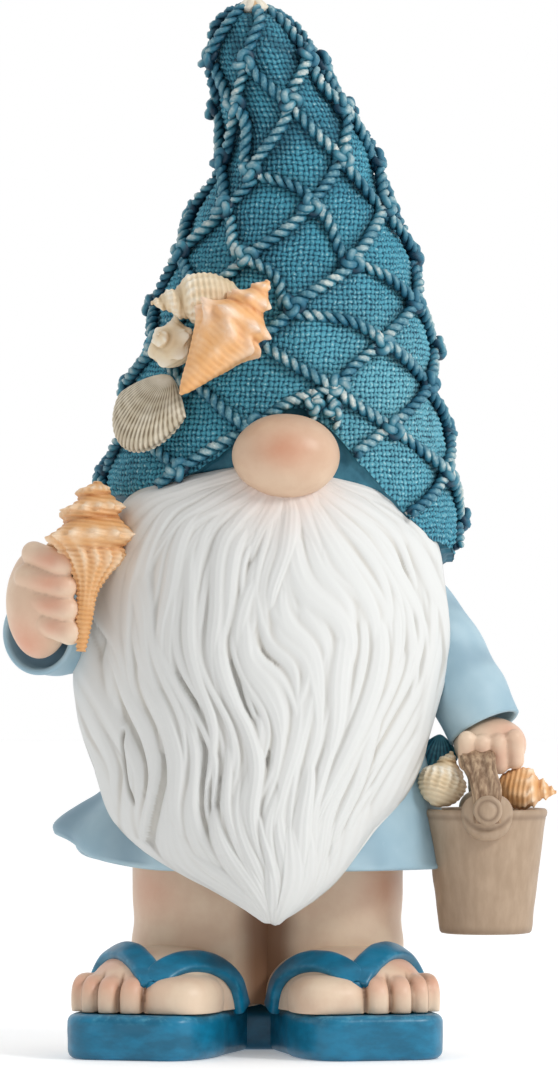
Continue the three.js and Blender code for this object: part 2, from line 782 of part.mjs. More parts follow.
function addHat() {
  const hatTool = hatSolid(GAP);
  const conch = hatConch(GAP);
  const knob = hatKnobShell(GAP);
  const whelk = hatWhelk(GAP);
  const cockle = hatCockle(GAP);
  const under = [headSolid(GAP), tunicSolid(GAP), noseSolid(GAP)];
  addPiece('hat_shell', mainBody(cut(hatSolid(0), under)), paints.hat);
  addPiece('hat_net', hatNet([hatTool, conch, knob, whelk, cockle, noseSolid(GAP)]), paints.net);
  addPiece('hat_tip_knot', tipKnot([hatTool]), paints.cream);
  addPiece('hat_conch', mainBody(cut(hatConch(0), [hatTool])), paints.conch);
  addPiece('hat_knob_shell', mainBody(cut(hatKnobShell(0), [hatTool, conch])), paints.shell);
  addPiece('hat_whelk', mainBody(cut(hatWhelk(0), [hatTool, conch, knob])), paints.shell);
  addPiece('hat_cockle', mainBody(cut(hatCockle(0), [hatTool, conch, knob])), paints.shell);
}

function addHead() {
  const tools = [hatSolid(GAP), tunicSolid(GAP)];
  const nose = noseSolid(GAP);
  addPiece('head', mainBody(cut(headSolid(0), [tunicSolid(GAP), nose])), paints.skin);
  addPiece('nose', noseSolid(0), paints.skin);
  const beardTools = [...tools, headSolid(GAP), nose, heldConch(GAP), rightHandSolid(GAP)];
  addPiece('beard', mainBody(cut(beardPillow(0), beardTools)), paints.beard);
}

function addBody() {
  addPiece('tunic', mainBody(cut(tunicSolid(0), [bucketSolid(GAP)])), paints.tunic);
  const around = [tunicSolid(GAP), beardPillow(GAP), hatSolid(GAP)];
  const rightSleeve = cut(sleeve(rightSleeveCurve, 13.2, 0), [...around, rightHandSolid(GAP)]);
  const leftSleeve = cut(sleeve(leftSleeveCurve, 12, 0), [...around, leftHandSolid(GAP)]);
  addPiece('right_sleeve', mainBody(rightSleeve), paints.tunic);
  addPiece('left_sleeve', mainBody(leftSleeve), paints.tunic);
  addPiece('right_hand', mainBody(cut(rightHandSolid(0), [heldConch(GAP)])), paints.skin);
  addPiece('held_conch', heldConch(0), paints.conch);
}

function addBucket() {
  const bucketTool = bucketSolid(GAP);
  const bail = bailSolid(GAP);
  addPiece('left_hand', mainBody(cut(leftHandSolid(0), [bail])), paints.skin);
  addPiece('bucket', bucketSolid(0), paints.bucket);
  addPiece('bucket_bail', bailSolid(0), paints.bark);
  addPiece('bail_lug_front', mainBody(lugSolid(-1)), paints.bucket);
  addPiece('bail_lug_back', mainBody(cut(lugSolid(1), [tunicSolid(GAP)])), paints.bucket);
  addPiece('bail_pin_front', pinSolid(-1), paints.bark);
  addPiece('bail_pin_back', mainBody(cut(pinSolid(1), [tunicSolid(GAP)])), paints.bark);
  const nearby = [bucketTool, bail, leftHandSolid(GAP), tunicSolid(GAP), beardPillow(GAP)];
  addPiece('bucket_cockle', mainBody(cut(bucketCockle(0), nearby)), paints.shell);
  addPiece('bucket_auger', mainBody(cut(bucketAuger(0), nearby)), paints.conch);
  const tealTools = [...nearby, bucketCockle(GAP), sleeve(leftSleeveCurve, 12, GAP)];
  addPiece('bucket_teal_shell', mainBody(cut(bucketTealShell(0), tealTools)), paints.coral);
}

function addLeg(side) {
  addPiece(`${side.name}_leg`, legSolid(side), paints.skin);
  addPiece(`${side.name}_foot`, mainBody(footSolid(side, 0)), paints.skin);
  addPiece(`${side.name}_sole`, mainBody(cut(soleSolid(side), [bridgeSolid(GAP)])), paints.sandal);
  addPiece(`${side.name}_strap`, strapSolid(side), paints.sandal);
}

addHat();
addHead();
addBody();
addBucket();
addLeg(RIGHT);
addLeg(LEFT);
addPiece('heel_bridge', bridgeSolid(0), paints.sandal);

// Origin at the middle of the footprint, on the ground.
const bounds = new THREE.Box3().setFromObject(gnome);
const middle = bounds.getCenter(new THREE.Vector3());
gnome.position.set(-middle.x, -middle.y, -bounds.min.z);
gnome.updateMatrixWorld(true);

export default gnome;
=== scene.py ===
"""Seaside garden gnome in hand-painted cast resin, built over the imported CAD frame.

Shapes are worked out in millimetres in the CAD's drawing frame (+Z up, front facing -Y,
left and right the gnome's own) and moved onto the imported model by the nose's place.
"""
import math

import bpy
import numpy as np
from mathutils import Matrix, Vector


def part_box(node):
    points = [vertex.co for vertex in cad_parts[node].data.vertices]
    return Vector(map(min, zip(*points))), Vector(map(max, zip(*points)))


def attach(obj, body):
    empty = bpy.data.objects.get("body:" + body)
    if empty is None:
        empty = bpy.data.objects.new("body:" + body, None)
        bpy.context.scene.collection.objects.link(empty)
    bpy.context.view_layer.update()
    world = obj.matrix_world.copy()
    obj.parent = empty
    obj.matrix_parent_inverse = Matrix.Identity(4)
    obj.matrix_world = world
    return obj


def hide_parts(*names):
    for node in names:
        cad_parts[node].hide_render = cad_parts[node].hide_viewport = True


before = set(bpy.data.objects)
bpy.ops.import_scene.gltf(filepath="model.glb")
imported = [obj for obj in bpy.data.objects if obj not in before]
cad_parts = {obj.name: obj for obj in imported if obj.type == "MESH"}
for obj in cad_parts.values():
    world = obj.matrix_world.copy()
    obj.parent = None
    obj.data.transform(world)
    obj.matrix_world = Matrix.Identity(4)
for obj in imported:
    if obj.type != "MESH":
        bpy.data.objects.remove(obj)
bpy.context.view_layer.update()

MM = 1000.0
NOSE_CENTRE = np.array([1.7, -51.0, 187.2])
NOSE_RADII = np.array([16.7, 14.5, 13.2])
nose_low, nose_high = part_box("nose")
SHIFT = (np.array(nose_low) + np.array(nose_high)) / 2 * MM - NOSE_CENTRE
FRONT = -math.pi / 2


# ---------------------------------------------------------------- helpers

def smooth_table(rows):
    """Smooth curve through rows of (height, value, value, ...) with rising heights."""
    rows = np.array(rows, float)
    at = rows[:, 0]
    values = rows[:, 1:]
    slope = np.empty_like(values)
    slope[1:-1] = (values[2:] - values[:-2]) / (at[2:] - at[:-2])[:, None]
    slope[0] = (values[1] - values[0]) / (at[1] - at[0])
    slope[-1] = (values[-1] - values[-2]) / (at[-1] - at[-2])

    def value(where, column=0):
        where = np.clip(where, at[0], at[-1])
        i = np.clip(np.searchsorted(at, where) - 1, 0, len(at) - 2)
        span = at[i + 1] - at[i]
        t = (where - at[i]) / span
        return ((2 * t**3 - 3 * t**2 + 1) * values[i, column]
                + (t**3 - 2 * t**2 + t) * span * slope[i, column]
                + (3 * t**2 - 2 * t**3) * values[i + 1, column]
                + (t**3 - t**2) * span * slope[i + 1, column])

    return value


def stacked(*parts):
    """Points from their x, y and z, which may be rows, columns or single numbers."""
    return np.stack(np.broadcast_arrays(*parts), -1)


def bump(offset, width):
    return np.exp(-(offset / width) ** 2)


def smoothstep(low, high, value):
    """Smooth rise from 0 at low to 1 at high, or a fall when low is the higher one."""
    t = np.clip((value - low) / (high - low), 0, 1)
    return t * t * (3 - 2 * t)


def angle_between(a, b):
    return np.arctan2(np.sin(a - b), np.cos(a - b))


def unit(vectors):
    length = np.linalg.norm(vectors, axis=-1, keepdims=True)
    return vectors / np.maximum(length, 1e-9)


def hashed(*cells, seed=0):
    """Repeatable number from 0 to 1 for each whole-number cell."""
    mixed = np.zeros(np.broadcast(*cells).shape) + seed * 17.17
    for i, cell in enumerate(cells):
        mixed = mixed + cell * (12.9898, 78.233, 37.719)[i]
    value = np.sin(mixed) * 43758.5453
    return value - np.floor(value)


def noise2(x, y, seed=0):
    """Smooth noise from -1 to 1, one lump per unit."""
    i, j = np.floor(x), np.floor(y)
    u, v = x - i, y - j
    u, v = u * u * (3 - 2 * u), v * v * (3 - 2 * v)
    low = hashed(i, j, seed=seed) * (1 - u) + hashed(i + 1, j, seed=seed) * u
    high = hashed(i, j + 1, seed=seed) * (1 - u) + hashed(i + 1, j + 1, seed=seed) * u
    return 2 * (low * (1 - v) + high * v) - 1


def noise3(p, scale, seed=0):
    """Smooth noise from -1 to 1 over points, one lump per scale millimetres."""
    q = p / scale
    k = np.floor(q[..., 2])
    w = q[..., 2] - k
    w = w * w * (3 - 2 * w)
    low = noise2(q[..., 0] + 7.3 * k, q[..., 1] - 3.1 * k, seed)
    high = noise2(q[..., 0] + 7.3 * (k + 1), q[..., 1] - 3.1 * (k + 1), seed)
    return low * (1 - w) + high * w


def full_turn(count):
    """One row of evenly spaced angles, all the way round."""
    return np.arange(count)[None, :] / count * 2 * math.pi


def ring_grid(centre, radius, angle, z):
    """Points around an upright axis through the centre's x and y."""
    return stacked(centre[0] + radius * np.cos(angle), centre[1] + radius * np.sin(angle), z)


def roughened(points, away, depth, size, seed):
    """Moves points along the away directions by soft noise of the given depth."""
    return points + unit(away) * (depth * noise3(points, size, seed))[..., None]


def grid_quads(rows, columns, closed, start=0):
    r = np.arange(rows - 1)[:, None]
    c = np.arange(columns if closed else columns - 1)[None, :]
    n = (c + 1) % columns
    quads = np.stack([r * columns + c, r * columns + n,
                      (r + 1) * columns + n, (r + 1) * columns + c], -1)
    return quads.reshape(-1, 4) + start


def weld(points, quads, extra):
    """Merges coincident points, and drops the faces that collapse."""
    _, first, new = np.unique(np.round(points, 3), axis=0, return_index=True,
                              return_inverse=True)
    faces = new.reshape(-1)[quads]
    repeat = faces == np.roll(faces, -1, 1)
    whole = faces[~repeat.any(1)].tolist()
    for face, same in zip(faces[repeat.any(1)], repeat[repeat.any(1)]):
        left = face[~same].tolist()
        if len(set(left)) > 2:
            whole.append(left)
    return points[first], whole, {key: value[first] for key, value in extra.items()}


def link_object(name, data):
    item = bpy.data.objects.new(name, data)
    bpy.context.scene.collection.objects.link(item)
    return item


def make_object(name, points, faces, paint, node, attributes, uv=None):
    """A smooth mesh in place of a CAD node, with a float per point for each attribute."""
    mesh = bpy.data.meshes.new(name)
    mesh.from_pydata(((points + SHIFT) / MM).tolist(), [], list(map(list, faces)))
    mesh.polygons.foreach_set("use_smooth", [True] * len(mesh.polygons))
    for key, values in attributes.items():
        layer = mesh.attributes.new(key, "FLOAT", "POINT")
        layer.data.foreach_set("value", np.asarray(values, np.float32).ravel())
    if uv is not None:
        corner = np.empty(len(mesh.loops), np.int32)
        mesh.loops.foreach_get("vertex_index", corner)
        layer = mesh.uv_layers.new(name="threads")
        layer.data.foreach_set("uv", np.asarray(uv, np.float32)[corner].ravel())
    mesh.update()
    mesh.materials.append(PAINTS[paint])
    piece = link_object(name, mesh)
    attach(piece, "root")
    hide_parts(node)


class Parts:
    """Collects grids of points, closed round their columns, into one mesh."""

    def __init__(self):
        self.points = []
        self.faces = []
        self.data = {}
        self.count = 0

    def put(self, points, data):
        self.points.append(points)
        self.count += len(points)
        for key, values in data.items():
            self.data.setdefault(key, []).append(values)

    def add(self, points, caps=True, **data):
        rows, columns = points.shape[:2]
        data = {key: np.broadcast_to(values, (rows, columns)) for key, values in data.items()}
        start = self.count
        self.faces += grid_quads(rows, columns, True, start).tolist()
        self.put(points.reshape(-1, 3), {key: values.ravel() for key, values in data.items()})
        for row in (0, rows - 1) if caps else ():
            ring = start + row * columns + np.arange(columns)
            turn = ring if row else ring[::-1]
            self.faces += [[a, b, self.count] for a, b in zip(turn, np.roll(turn, -1))]
            self.put(points[row].mean(0)[None],
                     {key: np.array([values[row].mean()]) for key, values in data.items()})
        return self

    def build(self, name, paint, slot, node):
        data = {key: np.concatenate(values) for key, values in self.data.items()}
        make_object(name, np.concatenate(self.points), self.faces, paint, node, data)


def sphere_grid(rows, columns):
    """Unit directions from the -Z pole to the +Z pole."""
    down = np.linspace(0.02, math.pi - 0.02, rows)[:, None]
    around = full_turn(columns)
    return stacked(np.sin(down) * np.cos(around), np.sin(down) * np.sin(around), -np.cos(down))


def catmull(p, steps):
    """Smooth curve through all of p but its first and last points."""
    t = np.linspace(0, 1, steps, endpoint=False)[:, None]
    pieces = []
    for a, b, c, d in zip(p, p[1:], p[2:], p[3:]):
        pieces.append(0.5 * (2 * b + (c - a) * t + (2 * a - 5 * b + 4 * c - d) * t**2
                             + (3 * b - a - 3 * c + d) * t**3))
    return np.concatenate(pieces)


def lengths(path):
    """Distance along a path at each of its points."""
    steps = np.linalg.norm(np.diff(path, axis=0), axis=1)
    return np.concatenate([[0], np.cumsum(steps)])


def resample(path, count, values=None):
    """A path, or values given along it, at evenly spaced places."""
    length = lengths(path)
    even = np.linspace(0, length[-1], count)
    values = path if values is None else values
    return np.stack([np.interp(even, length, column) for column in values.T], -1)


def spline(points, count):
    """Smooth curve through points, evenly spaced along its length."""
    p = np.array(points, float)
    path = catmull(np.stack([2 * p[0] - p[1], *p, 2 * p[-1] - p[-2]]), 24)
    return resample(np.concatenate([path, p[-1:]]), count)


def section_axes(path, out):
    """The out direction squared off to the path, and the direction beside it."""
    tangent = unit(np.gradient(path, axis=0))
    out = unit(out - (out * tangent).sum(-1, keepdims=True) * tangent)
    return out, np.cross(tangent, out)


def tube(path, out, half_out, half_side, sides, power=2.0):
    """Section swept along a path; out is the direction its half_out axis leans to."""
    out, side = section_axes(path, out)
    turn = full_turn(sides)[..., None]
    cosine, sine = np.cos(turn), np.sin(turn)
    cosine = np.sign(cosine) * np.abs(cosine) ** (2 / power)
    sine = np.sign(sine) * np.abs(sine) ** (2 / power)
    half_out = np.broadcast_to(half_out, len(path))[:, None, None]
    half_side = np.broadcast_to(half_side, len(path))[:, None, None]
    return (path[:, None] + out[:, None] * half_out * cosine
            + side[:, None] * half_side * sine)


def place(points, centre, tip, roll=0.0):
    """Rolls points about +Z, turns +Z towards the tip's direction and adds the centre."""
    lean = Vector((0, 0, 1)).rotation_difference(Vector(tip).normalized())
    c, s = math.cos(roll), math.sin(roll)
    matrix = np.array(lean.to_matrix()) @ np.array([[c, -s, 0], [s, c, 0], [0, 0, 1]])
    return points @ matrix.T + np.array(centre, float)


# ---------------------------------------------------------------- materials

def srgb(red, green, blue):
    def linear(c):
        c /= 255
        return c / 12.92 if c < 0.04045 else ((c + 0.055) / 1.055) ** 2.4
    return (linear(red), linear(green), linear(blue), 1.0)


class Nodes:
    """Short names for the shader nodes of one tree."""

    def __init__(self, tree):
        self.tree = tree

    def node(self, kind, **settings):
        node = self.tree.nodes.new(kind)
        for key, value in settings.items():
            setattr(node, key, value)
        return node

    def link(self, source, socket):
        """Feeds a socket from another one, a number, or a colour in bytes."""
        if isinstance(source, tuple):
            socket.default_value = srgb(*source)
        elif isinstance(source, (int, float)):
            socket.default_value = source
        else:
            self.tree.links.new(source, socket)

    def math(self, operation, *values):
        node = self.node("ShaderNodeMath", operation=operation)
        for value, socket in zip((*values, 0.0, 0.0), node.inputs):
            self.link(value, socket)
        return node.outputs[0]

    def times(self, a, b):
        return self.math("MULTIPLY", a, b)

    def scaled(self, value, factor, offset):
        return self.math("MULTIPLY_ADD", value, factor, offset)


NOISE_ROUGHNESS = 0.55


class Paint(Nodes):
    """A material: paint over cast resin."""

    def __init__(self, name, roughness, specular):
        self.material = bpy.data.materials.new(name)
        self.material.use_nodes = True
        super().__init__(self.material.node_tree)
        self.shader = self.tree.nodes["Principled BSDF"]
        self.shader.inputs["Roughness"].default_value = roughness
        self.shader.inputs["Specular IOR Level"].default_value = specular
        self.place = self.node("ShaderNodeTexCoord").outputs["Object"]
        self.normal = None

    def attribute(self, name):
        return self.node("ShaderNodeAttribute", attribute_name=name).outputs["Fac"]

    def noise(self, size, detail, stretch=(1, 1, 1)):
        """Noise with lumps of about size millimetres, from 0 to 1."""
        scaled = self.node("ShaderNodeMapping")
        self.link(self.place, scaled.inputs["Vector"])
        scaled.inputs["Scale"].default_value = [MM / size * s for s in stretch]
        texture = self.node("ShaderNodeTexNoise")
        self.link(scaled.outputs["Vector"], texture.inputs["Vector"])
        self.link(1.0, texture.inputs["Scale"])
        self.link(detail, texture.inputs["Detail"])
        self.link(NOISE_ROUGHNESS, texture.inputs["Roughness"])
        return texture.outputs["Fac"]

    def ramp(self, value, low, high):
        """Smooth rise from 0 to 1 while the value goes from low to high."""
        node = self.node("ShaderNodeMapRange", interpolation_type="SMOOTHSTEP")
        self.link(value, node.inputs["Value"])
        self.link(low, node.inputs["From Min"])
        self.link(high, node.inputs["From Max"])
        return node.outputs["Result"]

    def clouds(self, size, detail, low, high):
        return self.ramp(self.noise(size, detail), low, high)

    def relief(self, size, detail, depth, strength):
        self.bump(self.noise(size, detail), depth, strength)

    def mix(self, amount, a, b):
        node = self.node("ShaderNodeMix", data_type="RGBA")
        self.link(amount, node.inputs["Factor"])
        self.link(a, node.inputs["A"])
        self.link(b, node.inputs["B"])
        return node.outputs["Result"]

    def layer(self, color, name, amount, tint):
        """Lays a tint over the colour where the mesh's attribute says."""
        return self.mix(self.times(self.attribute(name), amount), color, tint)

    def bump(self, height, depth, strength):
        """Adds relief of the given depth in millimetres."""
        node = self.node("ShaderNodeBump")
        self.link(strength, node.inputs["Strength"])
        self.link(depth / MM, node.inputs["Distance"])
        self.link(height, node.inputs["Height"])
        if self.normal is not None:
            self.link(self.normal, node.inputs["Normal"])
        self.normal = node.outputs["Normal"]

    def finish(self, color):
        self.link(color, self.shader.inputs["Base Color"])
        if self.normal is not None:
            self.link(self.normal, self.shader.inputs["Normal"])
        return self.material


def hat_paint():
    """Coarse hessian: threads crossing over and under, painted shade dark between them, pale
    dry-brush on the crests that also stands in for their highlights.
    """
    paint = Paint("hat_hessian", 0.6, 0.35)
    threads = paint.node("ShaderNodeSeparateXYZ")
    paint.link(paint.node("ShaderNodeUVMap", uv_map="threads").outputs["UV"], threads.inputs[0])

    def shaken(axis, size):
        shake = paint.times(paint.math("SUBTRACT", paint.noise(size, 3.0), 0.5), 1.1)
        return paint.math("ADD", threads.outputs[axis], shake)

    def thread(across, along):
        ridge = paint.math("ABSOLUTE", paint.math("SINE", paint.times(across, math.pi)))
        parity = paint.times(paint.math("FLOOR", across), math.pi)
        wave = paint.math("SINE", paint.math("ADD", paint.times(along, math.pi), parity))
        over = paint.scaled(wave, 0.34, 0.6)
        return paint.times(paint.math("POWER", ridge, 0.7), over)

    u, v = shaken("X", 3.0), shaken("Y", 2.6)
    warp = thread(u, v)
    weft = thread(v, paint.math("ADD", u, 1.0))
    fabric = paint.attribute("fabric")
    height = paint.scaled(paint.noise(0.6, 4.0), 0.5, paint.math("MAXIMUM", warp, weft))
    paint.bump(paint.times(height, fabric), 0.7, 0.9)
    paint.relief(1.2, 5.0, 0.25, 0.3)

    patches = paint.clouds(22.0, 4.0, 0.32, 0.68)
    # painted highlight: a pale patch low on the front, towards the gnome's left, where the key
    # light falls; it also adds pale sparks on the thread tops
    painted_highlight = paint.scaled(paint.attribute("painted_highlight"), 0.8, 0.2)
    deep = paint.mix(patches, (10, 60, 82), (18, 76, 100))
    mid = paint.mix(patches, (36, 126, 154), (60, 156, 182))
    mid = paint.mix(paint.times(painted_highlight, 0.75), mid, (118, 192, 208))
    brushed = paint.clouds(1.3, 4.0, 0.35, 0.7)
    crest = paint.mix(brushed, (100, 172, 188), (192, 224, 226))
    # painted shade: the deep colour fills the gaps between the threads
    color = paint.mix(paint.ramp(height, 0.5, 1.0), deep, mid)
    specks = paint.clouds(1.7, 4.0, 0.4, 0.62)
    spark = paint.scaled(specks, 0.95, paint.times(painted_highlight, 0.35))
    # pale dry-brush on the thread tops, also standing in for their highlights
    color = paint.mix(paint.times(paint.ramp(height, 0.95, 1.3), spark), color, crest)
    # painted shade: the cloth darkens beside the net's cords and, a little, on the lip under the
    # brim
    color = paint.layer(color, "wash", 0.55, (6, 46, 68))
    clouds = paint.clouds(7.0, 5.0, 0.35, 0.7)
    lip = paint.mix(clouds, (30, 88, 108), (56, 116, 136))
    return paint.finish(paint.mix(fabric, lip, color))


def rope_paint():
    paint = Paint("net_rope", 0.5, 0.45)
    rise = paint.attribute("rise")
    paint.relief(0.7, 5.0, 0.22, 0.5)
    patches = paint.clouds(12.0, 3.0, 0.4, 0.66)
    mottled = paint.clouds(1.3, 5.0, 0.38, 0.68)
    body = paint.mix(patches, (34, 104, 130), (62, 136, 156))
    # painted shade: dark where the plies face the hat and in the crevices between them
    color = paint.mix(paint.ramp(rise, 0.0, 0.62), (8, 52, 74), body)
    loose = paint.scaled(mottled, 0.6, paint.scaled(patches, 0.5, 0.15))
    # pale dry-brush on the cord's outer tops, also standing in for their highlights
    dry_brush_and_highlight = paint.times(paint.ramp(rise, 0.5, 0.95), loose)
    pale = paint.mix(patches, (140, 190, 198), (218, 222, 214))
    color = paint.mix(dry_brush_and_highlight, color, pale)
    return paint.finish(color)


def beard_paint():
    paint = Paint("beard_white", 0.6, 0.35)
    ridge = paint.attribute("ridge")
    paint.relief(0.9, 5.0, 0.1, 0.3)
    warm = paint.clouds(30.0, 3.0, 0.35, 0.7)
    # painted shade: grey in the grooves between the locks, white on their tops
    groove = paint.mix(warm, (194, 193, 189), (204, 201, 194))
    color = paint.mix(paint.ramp(ridge, 0.2, 0.75), groove, (221, 222, 220))
    blush = paint.scaled(paint.noise(5.0, 3.0), 0.6, 0.25)
    color = paint.layer(color, "blush", blush, (232, 196, 178))
    # painted shade: dark brown down the deep cut
    color = paint.layer(color, "cut", 0.8, (120, 108, 90))
    return paint.finish(color)


def skin_paint(name, base, blush, tired):
    """Peach skin with an airbrushed blush and faint painted shade in the creases."""
    paint = Paint(name, 0.42, 0.45)
    paint.relief(1.0, 4.0, 0.08, 0.3)
    paint.relief(7.0, 3.0, 0.4, 0.25)
    cloud = paint.clouds(14.0, 4.0, 0.34, 0.68)
    color = paint.mix(cloud, base, tired)
    amount = paint.scaled(paint.noise(4.0, 4.0), 0.5, 0.6)
    color = paint.layer(color, "blush", amount, blush)
    # painted shade: brown in the creases, down the crevice between the legs, under the tunic and
    # between the toes
    color = paint.mix(paint.attribute("wash"), color, (132, 94, 68))
    return paint.finish(color)


def cloth_paint():
    paint = Paint("tunic_blue", 0.5, 0.4)
    paint.relief(1.3, 5.0, 0.1, 0.3)
    cloud = paint.clouds(24.0, 3.0, 0.3, 0.75)
    color = paint.mix(cloud, (150, 181, 196), (179, 204, 214))
    speck = paint.clouds(2.2, 6.0, 0.6, 0.8)
    color = paint.mix(paint.times(speck, 0.25), color, (176, 200, 214))
    # painted shade: inside the hem, on the shaded flared corner, in the fold troughs, wrinkle
    # hollows and cuff openings
    return paint.finish(paint.layer(color, "wash", 0.7, (62, 98, 124)))


def shell_paint(name, deep, mid, pale, tip):
    """Shell colours: painted shade deep between the ribs, pale dry-brushed streaks over them that
    also stand in for highlights, a tint on the knobs.
    """
    paint = Paint(name, 0.48, 0.45)
    ridge = paint.attribute("ridge")
    paint.relief(0.8, 5.0, 0.14, 0.4)
    cloud = paint.clouds(5.0, 5.0, 0.38, 0.62)
    # painted shade: the deep colour lies where the ridge value is low, between the ribs, at the
    # joins of the whorls and under the tip's cord ends
    color = paint.mix(paint.ramp(ridge, 0.1, 0.6), deep, mid)
    lifted = paint.scaled(paint.ramp(ridge, 0.45, 1.0), 0.6, 0.25)
    # pale dry-brushed streaks, stronger over the ribs, also standing in for highlights
    color = paint.mix(paint.times(cloud, lifted), color, pale)
    patchy_amount = paint.scaled(paint.noise(1.5, 4.0), 0.9, 0.3)
    color = paint.layer(color, "tint", patchy_amount, tip)
    return paint.finish(color)


def bucket_paint():
    paint = Paint("bucket_tan", 0.5, 0.4)
    grain = paint.noise(3.0, 5.0, (1, 1, 0.3))
    paint.relief(1.1, 5.0, 0.1, 0.3)
    color = paint.mix(paint.ramp(grain, 0.3, 0.75), (166, 142, 118), (180, 156, 132))
    # painted shade: in the pail's grooves and inside it, and in the grooves of the lug plates and
    # bosses
    color = paint.layer(color, "wash", 0.7, (104, 80, 60))
    return paint.finish(color)


def bark_paint():
    paint = Paint("handle_bark", 0.6, 0.35)
    grain = paint.noise(2.6, 6.0, (2.2, 1, 0.4))
    paint.bump(grain, 0.6, 0.6)
    color = paint.mix(paint.ramp(grain, 0.35, 0.7), (136, 108, 84), (196, 168, 138))
    # painted shade in the grooves of the bark
    color = paint.layer(color, "wash", 0.6, (96, 72, 54))
    return paint.finish(color)


def sandal_paint():
    paint = Paint("sandal_teal", 0.36, 0.5)
    paint.relief(2.0, 5.0, 0.16, 0.35)
    streak = paint.ramp(paint.noise(10.0, 5.0, (1, 1, 2.2)), 0.35, 0.72)
    color = paint.mix(streak, (2, 98, 130), (12, 124, 162))
    # painted highlight: paler teal along the sole's upper rim and, fainter, over its top, and along
    # the straps' edges
    patchy_amount = paint.times(paint.clouds(2.4, 5.0, 0.45, 0.7), 0.5)
    color = paint.layer(color, "edge", patchy_amount, (80, 156, 182))
    # painted shade: the web between the heels is darkened
    color = paint.layer(color, "wash", 0.6, (4, 50, 76))
    return paint.finish(color)


# deep, mid, pale and tip colours of the shells and of the cream tip
SHELL_COLORS = {
    "tip_cream": ((190, 176, 150), (226, 216, 196), (240, 234, 220), (206, 150, 70)),
    "conch_orange": ((206, 132, 74), (236, 178, 116), (244, 208, 170), (248, 224, 206)),
    "cockle_grey": ((138, 122, 98), (198, 186, 162), (226, 218, 200), (238, 232, 220)),
    "held_conch": ((186, 118, 64), (224, 168, 108), (238, 198, 152), (246, 226, 200)),
    "shell_tan": ((176, 146, 106), (226, 204, 168), (240, 228, 204), (246, 240, 226)),
    "shell_teal": ((14, 70, 92), (36, 116, 142), (110, 170, 182), (110, 170, 182)),
}


PAINTS = {
    "hat": hat_paint(), "rope": rope_paint(), "beard": beard_paint(), "cloth": cloth_paint(),
    "bucket": bucket_paint(), "bark": bark_paint(), "sandal": sandal_paint(),
    "nose": skin_paint("nose_peach", (216, 188, 161), (205, 137, 106), (206, 173, 146)),
    "skin": skin_paint("skin_peach", (232, 208, 182), (220, 152, 124), (222, 192, 166)),
    **{name: shell_paint(name, *colors) for name, colors in SHELL_COLORS.items()},
}


# ---------------------------------------------------------------- hat

hat_shape = smooth_table([
    (150, 0.8, 54), (166, 0.5, 55.2), (181, 0.2, 55), (200, 0.2, 50), (225, 2.5, 44.6),
    (247, 3.4, 38.3), (264, 4.7, 31.4), (278, 5.2, 24.7), (291, 3.6, 21.6),
    (303, -1.3, 18.9), (314, -5.6, 16), (322, -7.6, 12.4), (326, -8.6, 9.2),
])
ring_height = smooth_table([
    (-2, 152), (-1, 167), (0, 182), (2, 210), (4, 237), (6, 266), (7, 281), (8, 298),
    (9, 312), (9.6, 319), (10.2, 325),
])
HAT_DEPTH_RATIO = 0.92
HAT_WIDEST = 55.6
HAT_LOW = 151
HAT_TOP = 326
THREAD = 1.7
NET_KNOTS = 7
NET_PHASE = math.radians(7)
NET_TWIST = math.radians(1.2)
NET_SPACING = 2 * math.pi / NET_KNOTS


def hat_point(angle, height, grow):
    half = hat_shape(height, 1)
    x = hat_shape(height, 0) + (half + grow) * np.cos(angle)
    y = (half * HAT_DEPTH_RATIO + grow) * np.sin(angle)
    return stacked(x, y, height)


def brim_level(angle):
    """Height of the brim, lowest at the gnome's back and left."""
    return 168 - 9 * np.cos(angle) - 11 * np.sin(angle) - 3 * np.cos(2 * angle)


def fabric_edge(angle):
    """Where the woven cloth stops, above a smooth lip around the nose."""
    sag = 4.5 * bump(angle_between(angle, math.radians(-138)), math.radians(32))
    sag = sag + 3.2 * bump(angle_between(angle, math.radians(-40)), math.radians(24))
    away = angle_between(angle, FRONT + math.radians(5))
    arch = 21.5 * bump(away, np.where(away < 0, math.radians(22), math.radians(27)))
    ragged = 0.7 * noise2(angle * 9, 0.0, 3) + 0.5 * noise2(angle * 31, 0.0, 4)
    return brim_level(angle) - sag + arch + ragged


# where the net is tugged: x, z, move in x, move in z, reach
PULLS = [(11.8, 239, -9.0, -4.0, 9.0), (-1.2, 284, -7.0, -5.0, 8.0), (10.0, 211.5, 6.0, -1.5, 9.0),
         (25.7, 253, -4.0, -2.0, 8.0), (-6.4, 255, -3.5, -2.5, 8.0), (5.0, 312, 5.0, 2.0, 7.0)]


def pulled(angle, height):
    """Moves the net's cords and knots about together, as if tugged by hand."""
    half = hat_shape(height, 1)
    x = hat_shape(height, 0) + half * np.cos(angle)
    facing = np.clip(-np.sin(angle), 0, 1)
    slide, lift = 0.0, 0.0
    for at_x, at_z, move_x, move_z, reach in PULLS:
        near = bump(np.hypot(x - at_x, height - at_z), reach) * smoothstep(0.2, 0.5, facing)
        slide = slide + near * move_x / (half * np.maximum(facing, 0.5))
        lift = lift + near * move_z
    angle = angle + slide + 0.045 * noise2(angle * 2.0, height / 19, 51)
    return angle, height + lift + 1.5 * noise2(angle * 2.3, height / 17, 52)


RINGS = np.linspace(-2, 10.2, 400)
RING_HEIGHTS = ring_height(RINGS)


